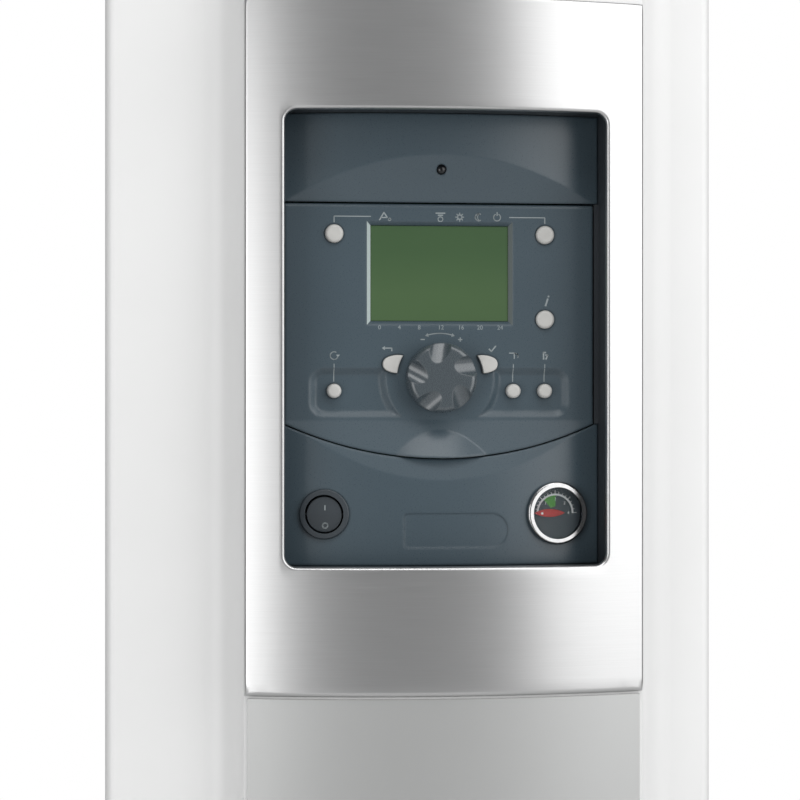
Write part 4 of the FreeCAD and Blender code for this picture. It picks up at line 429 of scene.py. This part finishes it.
# Main board and operator board: green solder mask over copper tracks.
# The tracks show as a faint net of lighter lines.
MIX_FACTOR, MIX_RESULT, MIX_A, MIX_B = 0, 2, 6, 7
track_width = 0.06
board, tree, shader = new_material("circuit_board")
place = add_node(tree, "ShaderNodeTexCoord").outputs["Object"]
tracks = add_node(
    tree, "ShaderNodeTexVoronoi", {"Vector": place}, feature="DISTANCE_TO_EDGE", Scale=170
)
mask = between(tree, noise(tree, 60), (0.012, 0.075, 0.03), (0.018, 0.092, 0.038))
track_line = add_node(tree, "ShaderNodeMath", {0: tracks.outputs["Distance"]}, operation="LESS_THAN")
track_line.inputs[1].default_value = track_width
tint = add_node(
    tree, "ShaderNodeMix", {MIX_FACTOR: track_line.outputs["Value"], MIX_A: mask}, data_type="RGBA"
)
tint.inputs[MIX_B].default_value = (0.03, 0.13, 0.055, 1)
tree.links.new(tint.outputs[MIX_RESULT], shader.inputs["Base Color"])
tree.links.new(between(tree, noise(tree, 240), 0.28, 0.4), shader.inputs["Roughness"])
raised = add_node(
    tree, "ShaderNodeBump", {"Height": track_line.outputs["Value"]}, Strength=0.2, Distance=0.0001
)
tree.links.new(raised.outputs["Normal"], shader.inputs["Normal"])
dress(board, "operator_board", "main_board")

# Upper cover, lower panel and control flap: injection-moulded slate plastic with a fine grain.
# The covers clip into the control box; the flap swings on two blackened steel pins.
slate = surface(
    "slate_plastic", (0.057, 0.085, 0.105), (0.063, 0.093, 0.114), 0.31, grain=(1800, 0.03), edge=0.0024
)
slate.node_tree.nodes["Principled BSDF"].inputs["Specular IOR Level"].default_value = 0.65
dress(slate, "upper_cover", "lower_panel", "control_flap")
pin_steel = surface("blackened_steel", (0.03, 0.03, 0.03), (0.05, 0.05, 0.05), 0.35, 0.7)
dress(pin_steel, "hinge_pins")

# Display: reflective liquid crystal cell behind a clear window, dark green while unlit.
# Painted shade: the glass is darker towards its upper edge, where the window's top bevel shadows it.
display, tree, shader = new_material("display_glass")
place = add_node(tree, "ShaderNodeTexCoord").outputs["Object"]
axes = add_node(tree, "ShaderNodeSeparateXYZ", {"Vector": place})
low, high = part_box("display_module")
height = add_node(
    tree, "ShaderNodeMapRange", {"Value": axes.outputs["Z"]}, From_Min=low[2], From_Max=high[2]
)
# painted shade: the green darkens towards the top edge, standing in for the shadow under the window's top
# bevel
painted_top_shade = between(tree, height.outputs["Result"], (0.072, 0.131, 0.056), (0.058, 0.114, 0.049))
tree.links.new(painted_top_shade, shader.inputs["Base Color"])
tree.links.new(between(tree, noise(tree, 60), 0.24, 0.27), shader.inputs["Roughness"])
dress(display, "display_module")

# Display lining: the two upright edges of the clear display window, seen at the sides of the glass.
# Each lies on the flap's bevel and runs down the short wall behind it; painted light makes the left one
# paler and painted shade makes the right one darker.
glass_low, glass_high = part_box("display_module")
view_x, view_z = 0.044, 0.03025
view_centre = (glass_low[2] + glass_high[2]) / 2
key_stand = 0.003
flap_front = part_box("mode_key")[0][1] + key_stand
LINING_LIFT = 0.00008
bevel, lining_out, lining_deep = 0.0022, 0.00235, 0.00252
lining_profile = [
    (lining_out, -LINING_LIFT),
    (bevel, -LINING_LIFT),
    (-LINING_LIFT, bevel),
    (-LINING_LIFT, lining_deep),
]
cloud = bmesh.new()
for side in (-1, 1):
    rows = []
    for spread, depth in lining_profile:
        x, rise = side * (view_x + spread), view_z + spread
        rows.append([cloud.verts.new((x, flap_front + depth, view_centre + z)) for z in (rise, -rise)])
    for row, following in zip(rows, rows[1:]):
        cloud.faces.new((row[0], row[1], following[1], following[0]))
cloud.normal_update()
for face in cloud.faces:
    if face.normal.y > 0 or face.calc_center_median().x * face.normal.x > 0:
        face.normal_flip()
lining_mesh = mesh_from(cloud, "display_lining")
lining_grey, tree, shader = new_material("lining_grey")
place = add_node(tree, "ShaderNodeTexCoord").outputs["Object"]
axes = add_node(tree, "ShaderNodeSeparateXYZ", {"Vector": place})
across = add_node(
    tree, "ShaderNodeMapRange", {"Value": axes.outputs["X"]}, From_Min=-view_x, From_Max=view_x
)
# painted light and shade: pale grey at the lit left edge, running to darker grey at the shaded right edge
painted_lit_left_shade_right = between(tree, across.outputs["Result"], (0.5, 0.58, 0.57), (0.15, 0.175, 0.175))
tree.links.new(painted_lit_left_shade_right, shader.inputs["Base Color"])
tree.links.new(between(tree, noise(tree, 400), 0.28, 0.4), shader.inputs["Roughness"])
lining_mesh.materials.append(lining_grey)
lining = bpy.data.objects.new("display_lining", lining_mesh)
bpy.context.collection.objects.link(lining)
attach(lining, "control_flap")

# Rotary knob: slate plastic with a silky coat and five swirled finger flutes.
# Moulded in one with its stem, which turns in the encoder on the operator board.
knob_coat = surface(
    "knob_plastic", (0.055, 0.072, 0.083), (0.064, 0.082, 0.094), 0.27, grain=(1600, 0.012), edge=0.0014
)
knob_shader = knob_coat.node_tree.nodes["Principled BSDF"]
knob_shader.inputs["Specular IOR Level"].default_value = 0.8
knob_shader.inputs["Coat Weight"].default_value = 0.5
knob_shader.inputs["Coat Roughness"].default_value = 0.22
dress(knob_coat, "rotary_knob")

# Keys: pale grey caps, moulded with a rounded edge, each sprung behind the flap.
# Six are round; the two beside the knob are cut round by its flank.
KEYS = ("hot_water", "mode", "info", "reset", "sweep", "manual", "escape", "confirm")
key_plastic = surface(
    "key_plastic", (0.54, 0.535, 0.515), (0.6, 0.595, 0.57), 0.36, grain=(1600, 0.03), patch=120, edge=0.0003
)
dress(key_plastic, *(f"{name}_key" for name in KEYS))

# Lamp: dark tinted light guide in the upper cover, unlit.
# It is a small round rod, seated in the hole of the cover.
lamp, tree, shader = new_material("lamp_plastic")
tint = between(tree, noise(tree, 400), (0.004, 0.005, 0.006), (0.009, 0.01, 0.012))
tree.links.new(tint, shader.inputs["Base Color"])
tree.links.new(between(tree, noise(tree, 300), 0.08, 0.16), shader.inputs["Roughness"])
dress(lamp, "indicator_lamp")

# Printed marks on the flap: pale ink, laid on the moulded surface and following its troughs.
# Brackets, pictograms, the hours under the display and the turning arrow over the knob.
ink = surface("pale_ink", (0.27, 0.31, 0.32), (0.34, 0.38, 0.39), 0.55, grain=(2500, 0.02))
INK_LIFT = 0.00006
STROKE_STEP = 0.0012
FIGURE_SHARE = 0.7
WELD = 1e-6
HAIR, LINE, PEN, BROAD, BOLD, STOUT, HEAVY = (tenths / 10000 for tenths in range(5, 12))


def stroke(points, width, closed=False):
    """A flat band along a path of (x, z) points, as quads of (x, z)."""
    quads = []
    path = points + points[:1] if closed else points
    for (x0, z0), (x1, z1) in zip(path, path[1:]):
        length = math.hypot(x1 - x0, z1 - z0)
        steps = max(1, round(length / STROKE_STEP))
        ax, az = (x1 - x0) / length, (z1 - z0) / length
        nx, nz = -az * width / 2, ax * width / 2
        ex, ez = ax * width / 4, az * width / 4
        x0, z0, x1, z1 = x0 - ex, z0 - ez, x1 + ex, z1 + ez
        for i in range(steps):
            f, g = i / steps, (i + 1) / steps
            bx, bz = x0 + (x1 - x0) * f, z0 + (z1 - z0) * f
            cx, cz = x0 + (x1 - x0) * g, z0 + (z1 - z0) * g
            quads.append([(bx + nx, bz + nz), (bx - nx, bz - nz), (cx - nx, cz - nz), (cx + nx, cz + nz)])
    return quads


def arc(cx, cz, radius, start, end, steps=20):
    """Points on an arc, angles in degrees, counted from +X towards +Z."""
    angles = [math.radians(start + (end - start) * i / steps) for i in range(steps + 1)]
    return [(cx + radius * math.cos(a), cz + radius * math.sin(a)) for a in angles]


def fan_of(points):
    """Triangles that fill a convex outline."""
    cx = sum(p[0] for p in points) / len(points)
    cz = sum(p[1] for p in points) / len(points)
    return [[(cx, cz), a, b] for a, b in zip(points, points[1:] + points[:1])]


def digits(text, cx, cz, height):
    """Plain figures as triangles of (x, z), centred on a point."""
    curve = bpy.data.curves.new("figures", "FONT")
    curve.body, curve.size = text, height / FIGURE_SHARE
    curve.align_x = "CENTER"
    holder = bpy.data.objects.new("figures", curve)
    mesh = bpy.data.meshes.new_from_object(holder)
    faces = [
        [(cx + mesh.vertices[v].co.x, cz - height / 2 + mesh.vertices[v].co.y) for v in polygon.vertices]
        for polygon in mesh.polygons
    ]
    bpy.data.objects.remove(holder)
    bpy.data.meshes.remove(mesh)
    bpy.data.curves.remove(curve)
    return faces


def print_on(label, faces, carrier, body, material):
    """Lays flat faces of (x, z) on the front of a CAD node, as a separate thin piece."""
    ground = surface_of(carrier)
    cloud = bmesh.new()
    for face in faces:
        corners = []
        for x, z in face:
            hit = ground.ray_cast(Vector((x, -1, z)), Vector((0, 1, 0)))[0]
            if hit is None:
                break
            corners.append(cloud.verts.new((x, hit.y - INK_LIFT, z)))
        if len(corners) == len(face):
            cloud.faces.new(corners)
    bmesh.ops.remove_doubles(cloud, verts=cloud.verts, dist=WELD)
    cloud.normal_update()
    for face in cloud.faces:
        if face.normal.y > 0:
            face.normal_flip()
    mesh = mesh_from(cloud, label)
    mesh.materials.append(material)
    piece = bpy.data.objects.new(label, mesh)
    bpy.context.collection.objects.link(piece)
    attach(piece, body)
    return piece


def middle(name):
    """The middle of a CAD node's box."""
    low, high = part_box(name)
    return [(a + b) / 2 for a, b in zip(low, high)]


def sign(cx, cz, points):
    """The points of a sign, moved to its place."""
    return [(cx + x, cz + z) for x, z in points]


column, _, mode_z = middle("mode_key")
bracket_z, stem_z = mode_z + 0.011, mode_z + 0.0072
bracket_reach = {-1: 0.0440, 1: 0.0444}
marks = []
for side, reach in bracket_reach.items():
    marks += stroke([(side * column, stem_z), (side * column, bracket_z), (side * reach, bracket_z)], LINE)
# tap with a drop, over the hot-water key's side of the display
tap_x, shower_x, sun_x, moon_x, standby_x = -0.0350, 0.0003, 0.0126, 0.0248, 0.0365
marks += stroke(sign(tap_x, bracket_z, [(-0.0034, -0.0022), (-0.0006, 0.0026), (0.0014, -0.0004)]), BROAD)
marks += stroke(sign(tap_x, bracket_z, [(-0.0024, -0.0006), (0.0016, -0.0006)]), PEN)
marks += stroke(arc(tap_x + 0.0030, bracket_z - 0.0018, 0.0008, 0, 360, 12), LINE)
# shower, sun, moon and standby, for the four modes
marks += stroke(sign(shower_x, bracket_z, [(-0.0029, 0.0024), (0.0029, 0.0024)]), BROAD)
marks += stroke(sign(shower_x, bracket_z, [(-0.0015, 0.0011), (0.0015, 0.0011)]), BROAD)
marks += stroke(arc(shower_x, bracket_z - 0.0014, 0.0015, 0, 360, 16), PEN)
marks += stroke(arc(sun_x, bracket_z, 0.0014, 0, 360, 16), BOLD)
for i in range(8):
    turn = math.radians(45 * i)
    spoke = [(r * math.cos(turn), r * math.sin(turn)) for r in (0.0020, 0.0027)]
    marks += stroke(sign(sun_x, bracket_z, spoke), LINE)
marks += stroke(arc(moon_x, bracket_z, 0.0022, 60, 300, 20), BROAD)
marks += stroke(arc(moon_x + 0.0014, bracket_z, 0.0022, 105, 255, 16), LINE)
marks += stroke(arc(standby_x, bracket_z, 0.0022, 120, 420, 24), PEN)
marks += stroke(sign(standby_x, bracket_z, [(0, 0.0012), (0, 0.0032)]), PEN)
# information mark: a leaning bar with its dot
info_x, info_z = column + 0.0014, middle("info_key")[2] + 0.0118
marks += stroke(sign(info_x, info_z, [(-0.0009, -0.0030), (0.0005, 0.0014)]), HEAVY)
marks += stroke(sign(info_x, info_z, [(0.0009, 0.0026), (0.0011, 0.0032)]), HEAVY)
# hours along the lower edge of the display, with their places in millimetres
hours_z, hour_height = view_centre - 0.0341, 0.0027
hour_places = {"0": -38.4, "4": -25.8, "8": -13.2, "12": 0.6, "16": 13.5, "20": 25.5, "24": 38.4}
for text, x_mm in hour_places.items():
    marks += digits(text, x_mm / 1000, hours_z, hour_height)
# turning arrow with minus and plus over the knob
knob_z = middle("rotary_knob")[2]
arrow_radius, head_inner, head_outer = 0.0282, 0.0270, 0.0294
marks += stroke(arc(0, knob_z, arrow_radius, 72, 108, 24), PEN)
for side in (-1, 1):
    tip = math.radians(90 - side * 19.5)
    back = math.radians(90 - side * 15.5)
    head = [(arrow_radius * math.cos(tip), arrow_radius * math.sin(tip))]
    head += [(r * math.cos(back), r * math.sin(back)) for r in (head_outer, head_inner)]
    marks += fan_of(sign(0, knob_z, head))
minus_x, plus_x, plus_z = -0.0110, 0.0129, knob_z + 0.0243
level_bar = [(-0.0012, 0), (0.0012, 0)]
marks += stroke(sign(minus_x, plus_z, level_bar), PEN)
marks += stroke(sign(plus_x, plus_z, level_bar), PEN)
marks += stroke(sign(plus_x, plus_z, [(0, -0.0012), (0, 0.0012)]), PEN)
# back arrow and tick beside the two command keys
command_z = knob_z + 0.0182
back_shaft = [(-0.0306, -0.0012), (-0.0306, 0.0006), (-0.0350, 0.0006)]
back_head = [(-0.0368, 0.0006), (-0.0350, -0.0008), (-0.0350, 0.0020)]
marks += stroke(sign(0, command_z, back_shaft), PEN)
marks += fan_of(sign(0, command_z, back_head))
marks += stroke(sign(0, command_z, [(0.0314, 0.0002), (0.0328, -0.0014), (0.0356, 0.0020)]), BROAD)
# reset arrow, sweep brush and hand mark, each with a line down to its key
sign_z, small_z = knob_z + 0.0140, middle("reset_key")[2]
reset_x, sweep_x, manual_x = (middle(f"{name}_key")[0] for name in ("reset", "sweep", "manual"))
for x in (reset_x, sweep_x, manual_x):
    marks += stroke([(x, sign_z - 0.0052), (x, small_z + 0.0060)], HAIR)
marks += stroke(arc(reset_x, sign_z, 0.0024, 60, 350, 24), PEN)
marks += fan_of(sign(reset_x, sign_z, [(0.0036, 0.0006), (0.0012, 0.0006), (0.0024, -0.0012)]))
marks += stroke(sign(sweep_x, sign_z, [(-0.0026, 0.0018), (0.0006, 0.0018), (0.0006, -0.0016)]), PEN)
marks += stroke(arc(sweep_x + 0.0012, sign_z - 0.0002, 0.0018, -20, 110, 12), PEN)
fingers = [(-0.0008, -0.0020), (-0.0008, 0.0022), (0.0006, 0.0022)]
thumb = [(0.0006, 0.0006), (0.0018, 0.0006), (0.0008, -0.0020)]
for path in (fingers, thumb):
    marks += stroke(sign(manual_x, sign_z, path), STOUT)
print_on("flap_marks", marks, "control_flap", "control_flap", ink)

# Main switch: collar pressed into the lower panel, with a rocker that tips in it.
# A bar and a ring are printed in pale ink on the rocker's two halves.
switch_black = surface(
    "switch_plastic", (0.035, 0.046, 0.055), (0.045, 0.056, 0.066), 0.35, grain=(1500, 0.04), edge=0.0004
)
dress(switch_black, "switch_collar", "switch_rocker")
switch_x, _, switch_z = middle("switch_rocker")
marks = stroke(sign(switch_x, switch_z, [(-0.0002, 0.0026), (-0.0002, 0.0054)]), PEN)
marks += stroke(arc(switch_x, switch_z - 0.0072, 0.0016, 0, 360, 20), BOLD)
print_on("rocker_marks", marks, "switch_rocker", "switch_rocker", ink)

# Pressure gauge: dark printed dial, red needle, clear lens and a rolled chrome ring.
# The dial has a white scale with figures and a green field for the working pressure.
dial = surface("dial_print", (0.05, 0.068, 0.08), (0.058, 0.076, 0.088), 0.5, grain=(1600, 0.02))
dress(dial, "gauge_dial")
gauge_x, _, gauge_z = middle("gauge_dial")
white_ink = surface("white_ink", (0.66, 0.68, 0.69), (0.74, 0.75, 0.76), 0.5, grain=(2500, 0.02))
green_ink = surface("green_ink", (0.06, 0.24, 0.04), (0.08, 0.3, 0.05), 0.5, grain=(2500, 0.02))
scale_radius, scale_width = 0.0116, 0.0012
tick_start, tick_short, tick_long, tick_width = 0.0121, 0.0131, 0.0142, 0.0004
ticks, ticks_each = 16, 4
figure_radius, figure_height = 0.0088, 0.0020
scale = stroke(arc(gauge_x, gauge_z, scale_radius, 0, 180, 40), scale_width)
for i in range(ticks + 1):
    turn = math.radians(180 * i / ticks)
    ends = (tick_start, tick_long if i % ticks_each == 0 else tick_short)
    tick = [(r * math.cos(turn), r * math.sin(turn)) for r in ends]
    scale += stroke(sign(gauge_x, gauge_z, tick), tick_width)
for i in range(ticks // ticks_each + 1):
    turn = math.radians(180 - 180 * ticks_each * i / ticks)
    figure_x = gauge_x + figure_radius * math.cos(turn)
    figure_z = gauge_z + figure_radius * math.sin(turn)
    scale += digits(str(i), figure_x, figure_z, figure_height)
print_on("dial_scale", scale, "gauge_dial", "casing", white_ink)
field_inner, field_outer = 0.0040, 0.0110
field_start, field_sweep, field_steps = 88, 44, 12
field = []
for i in range(field_steps):
    a, b = (math.radians(field_start + field_sweep * k / field_steps) for k in (i, i + 1))
    ring = ((field_inner, a), (field_outer, a), (field_outer, b), (field_inner, b))
    field.append(sign(gauge_x, gauge_z, [(r * math.cos(t), r * math.sin(t)) for r, t in ring]))
print_on("dial_field", field, "gauge_dial", "casing", green_ink)
needle_red = surface("red_needle", (0.36, 0.02, 0.02), (0.44, 0.03, 0.025), 0.4, grain=(1500, 0.02))
dress(needle_red, "gauge_needle")
dot_out, dot_drop, dot_radius = 0.0088, 0.0002, 0.0008
dot = fan_of(arc(gauge_x - dot_out, gauge_z - dot_drop, dot_radius, 0, 345, 23))
print_on("needle_dot", dot, "gauge_needle", "gauge_needle", white_ink)
lens, tree, shader = new_material("clear_lens")
tree.links.new(between(tree, noise(tree, 90), 0.02, 0.05), shader.inputs["Roughness"])
shader.inputs["Base Color"].default_value = (0.98, 0.99, 0.99, 1)
shader.inputs["Transmission Weight"].default_value = 1.0
shader.inputs["IOR"].default_value = 1.1
dress(lens, "gauge_lens")
chrome = surface("chrome_ring", (0.42, 0.42, 0.42), (0.47, 0.47, 0.47), 0.16, 1.0, (500, 0.01))
dress(chrome, "gauge_bezel")

# Front cover: white coved sheet, lifted off the casing as one with its fascia and trim strip.
# Pressed from steel with a raised ridge, and powder coated like the sides.
dress(white_enamel, "front_panel")

# Fascia: convex aluminium strip, brushed across its width and then anodised.
# Its window, ends and sides are rounded over; rings of faces run from the window to the outer edge.
# The grain runs from side to side, so reflections stretch up and down.
fascia_low, fascia_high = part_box("fascia")
FASCIA_RADIUS = 0.4548
FASCIA_SHEET = 0.0045
fascia_axis = fascia_low[1] + FASCIA_RADIUS
WINDOW_HALF, WINDOW_LOW, WINDOW_TOP = 0.1002, -0.3085, -0.0275
WINDOW_CORNER, WINDOW_ROUND = 0.007, 0.0026
END_ROUND, SIDE_ROUND = 0.0035, 0.0015
CORNER_STEPS, ACROSS_STEPS, UPRIGHT_STEPS = 8, 40, 40
ROUND_STEPS, FACE_STEPS = 8, 12
EDGE_INSETS_MM = (3.5, 2.8, 2.1, 1.5, 1.1, 0.75, 0.45, 0.2, 0.05, 0.0)
SHARP_DEGREES = 50
SAME = 1e-7


def dip(distance, radius):
    """How far a rounded edge falls away at that distance from it."""
    rest = max(radius - distance, 0)
    return radius - math.sqrt(radius * radius - rest * rest)


def corner_walk(half, low, top, corner):
    """Points (x, z) round a rounded rectangle, with the same count for every size."""
    points = []
    middles = [(half, top, 0), (-half, top, 90), (-half, low, 180), (half, low, 270)]
    steps = (ACROSS_STEPS, UPRIGHT_STEPS, ACROSS_STEPS, UPRIGHT_STEPS)
    turns = []
    for x, z, start in middles:
        cx = x - math.copysign(corner, x)
        cz = z - corner if z == top else z + corner
        turns.append(arc(cx, cz, corner, start, start + 90, CORNER_STEPS))
    for i, turn in enumerate(turns):
        points += turn
        (x0, z0), (x1, z1) = turn[-1], turns[(i + 1) % 4][0]
        for k in range(1, steps[i]):
            f = k / steps[i]
            points.append((x0 + (x1 - x0) * f, z0 + (z1 - z0) * f))
    return points


def outer_walk(inset):
    """The outer edge, moved in, with each corner's points spread along both of its sides."""
    spread = 0.012
    half, low, top = fascia_high[0] - inset, fascia_low[2] + inset, fascia_high[2] - inset
    points = []
    for x, z in corner_walk(half, low, top, spread):
        near_x, near_z = half - abs(x), min(top - z, z - low)
        if near_x < spread and near_z < spread:
            if near_x < near_z + SAME:
                x = math.copysign(half, x)
            if near_z < near_x + SAME:
                z = top if top - z < z - low else low
        points.append((x, z))
    return points


def on_fascia(x, z, sink):
    """The place on the fascia's front, let down by its rounded outer edges and by a sink."""
    sink += dip(z - fascia_low[2], END_ROUND)
    sink += dip(fascia_high[2] - z, SIDE_ROUND) + dip(fascia_high[0] - abs(x), SIDE_ROUND)
    return (x, fascia_axis - math.sqrt(FASCIA_RADIUS**2 - x * x) + sink, z)


def behind_fascia(x, z):
    """The place on the fascia's back."""
    return (x, fascia_axis - math.sqrt((FASCIA_RADIUS - FASCIA_SHEET) ** 2 - x * x), z)


rounding = [90 * i / ROUND_STEPS for i in range(ROUND_STEPS + 1)]
loops = []
for angle in rounding:
    out = WINDOW_ROUND * (1 - math.cos(math.radians(angle)))
    walk = corner_walk(WINDOW_HALF + out, WINDOW_LOW - out, WINDOW_TOP + out, WINDOW_CORNER + out)
    loops.append([on_fascia(x, z, dip(out, WINDOW_ROUND)) for x, z in walk])
inner = walk
outer = outer_walk(END_ROUND)
for step in range(1, FACE_STEPS):
    f = step / FACE_STEPS
    walk = [(a + (c - a) * f, b + (d - b) * f) for (a, b), (c, d) in zip(inner, outer)]
    loops.append([on_fascia(x, z, 0) for x, z in walk])
for inset in EDGE_INSETS_MM:
    loops.append([on_fascia(x, z, 0) for x, z in outer_walk(inset / 1000)])
loops.append([behind_fascia(x, z) for x, z in outer_walk(0)])
window_walk = corner_walk(WINDOW_HALF, WINDOW_LOW, WINDOW_TOP, WINDOW_CORNER)
loops.append([behind_fascia(x, z) for x, z in window_walk])
cloud = bmesh.new()
loops = [[cloud.verts.new(p) for p in loop] for loop in loops]
for ring, following in zip(loops, loops[1:] + loops[:1]):
    for i in range(len(ring)):
        j = (i + 1) % len(ring)
        cloud.faces.new((ring[i], ring[j], following[j], following[i]))
bmesh.ops.recalc_face_normals(cloud, faces=cloud.faces)
fascia_mesh = mesh_from(cloud, "fascia_strip")
fascia_mesh.shade_smooth()
fascia_mesh.set_sharp_from_angle(angle=math.radians(SHARP_DEGREES))

aluminium, tree, shader = new_material("brushed_aluminium")
grain = noise(tree, 30, 4.0, (1, 1, 160))
tree.links.new(between(tree, grain, (0.58, 0.58, 0.58), (0.62, 0.62, 0.62)), shader.inputs["Base Color"])
tree.links.new(between(tree, grain, 0.31, 0.35), shader.inputs["Roughness"])
relief = add_node(tree, "ShaderNodeBump", {"Height": grain}, Strength=0.008, Distance=0.0001)
tree.links.new(relief.outputs["Normal"], shader.inputs["Normal"])
along = add_node(tree, "ShaderNodeTangent", direction_type="RADIAL", axis="Z")
tree.links.new(along.outputs["Tangent"], shader.inputs["Tangent"])
shader.inputs["Metallic"].default_value = 1.0
shader.inputs["Anisotropic"].default_value = 0.3
shader.inputs["Anisotropic Rotation"].default_value = 0.25
fascia_mesh.materials.append(aluminium)
fascia = bpy.data.objects.new("fascia_strip", fascia_mesh)
bpy.context.collection.objects.link(fascia)
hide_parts("fascia")
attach(fascia, "front_cover")

# Lower strip: thin satin silver trim, lacquered, laid on the ridge below the fascia.
# It lies lower than the fascia, so the fascia's rounded end casts a thin shadow on it.
satin_silver = surface("satin_silver", (0.5, 0.505, 0.5), (0.53, 0.535, 0.53), 0.42, 0.55, (1400, 0.02), 5)
dress(satin_silver, "lower_strip")

# Camera: level with the knob's upper edge, a little to the left of the middle, long lens.
# Its focal length is kept in pixels of the square picture.
PICTURE_PIXELS, FOCAL_PIXELS, SENSOR_MM = 800, 2475, 36
camera = bpy.data.objects.new("camera", bpy.data.cameras.new("camera"))
bpy.context.collection.objects.link(camera)
camera.data.sensor_width = SENSOR_MM
camera.data.lens = FOCAL_PIXELS * SENSOR_MM / PICTURE_PIXELS
camera.location = (-0.205, -1.9, -0.206)
camera.rotation_euler = (math.radians(90), 0, math.radians(-6.61))
bpy.context.scene.camera = camera

# Floor: plain pale sheet under the hanging boiler, clear of its pipe stubs.
FLOOR_SIZE, FLOOR_FRONT, FLOOR_DROP = 4, 0.4, 0.15
floor_place = (0, -FLOOR_FRONT, cad_box[0][2] - FLOOR_DROP)
bpy.ops.mesh.primitive_plane_add(size=FLOOR_SIZE, location=floor_place)
floor = bpy.context.object
floor.name = "floor"
floor.data.materials.append(surface("pale_floor", (0.8, 0.8, 0.8), (0.84, 0.84, 0.84), 0.6))

# Light: soft boxes right and left of the camera and above it, the right one strongest.
# The room is even and pale, and plain white where the camera looks past the boiler.


def soft_box(name, place, aim, size, power):
    """A rectangular area light that faces a point."""
    lamp = bpy.data.objects.new(name, bpy.data.lights.new(name, "AREA"))
    lamp.data.shape = "RECTANGLE"
    lamp.data.size, lamp.data.size_y = size
    lamp.data.energy = power
    lamp.location = place
    lamp.rotation_euler = (Vector(aim) - Vector(place)).to_track_quat("-Z", "Y").to_euler()
    bpy.context.collection.objects.link(lamp)


ROOM_STRENGTH = 0.22
panel = (0, -0.38, -0.2)
soft_box("key_light", (1.58, -1.87, 0.54), panel, (2.0, 2.8), 35)
soft_box("fill_light", (-1.35, -1.9, -0.3), panel, (1.0, 1.3), 11)
soft_box("top_light", (0.0, -1.5, 1.6), panel, (1.6, 0.8), 13)
world = bpy.data.worlds.new("room")
bpy.context.scene.world = world
world.use_nodes = True
tree = world.node_tree
room = tree.nodes["Background"]
room.inputs["Color"].default_value = (0.98, 0.99, 1, 1)
room.inputs["Strength"].default_value = ROOM_STRENGTH
backdrop = add_node(tree, "ShaderNodeBackground", Color=(1, 1, 1, 1), Strength=1.0)
path = add_node(tree, "ShaderNodeLightPath")
views = {0: path.outputs["Is Camera Ray"], 1: room.outputs[0], 2: backdrop.outputs[0]}
mix = add_node(tree, "ShaderNodeMixShader", views)
tree.links.new(mix.outputs[0], tree.nodes["World Output"].inputs["Surface"])
bpy.context.scene.view_settings.view_transform = "Standard"
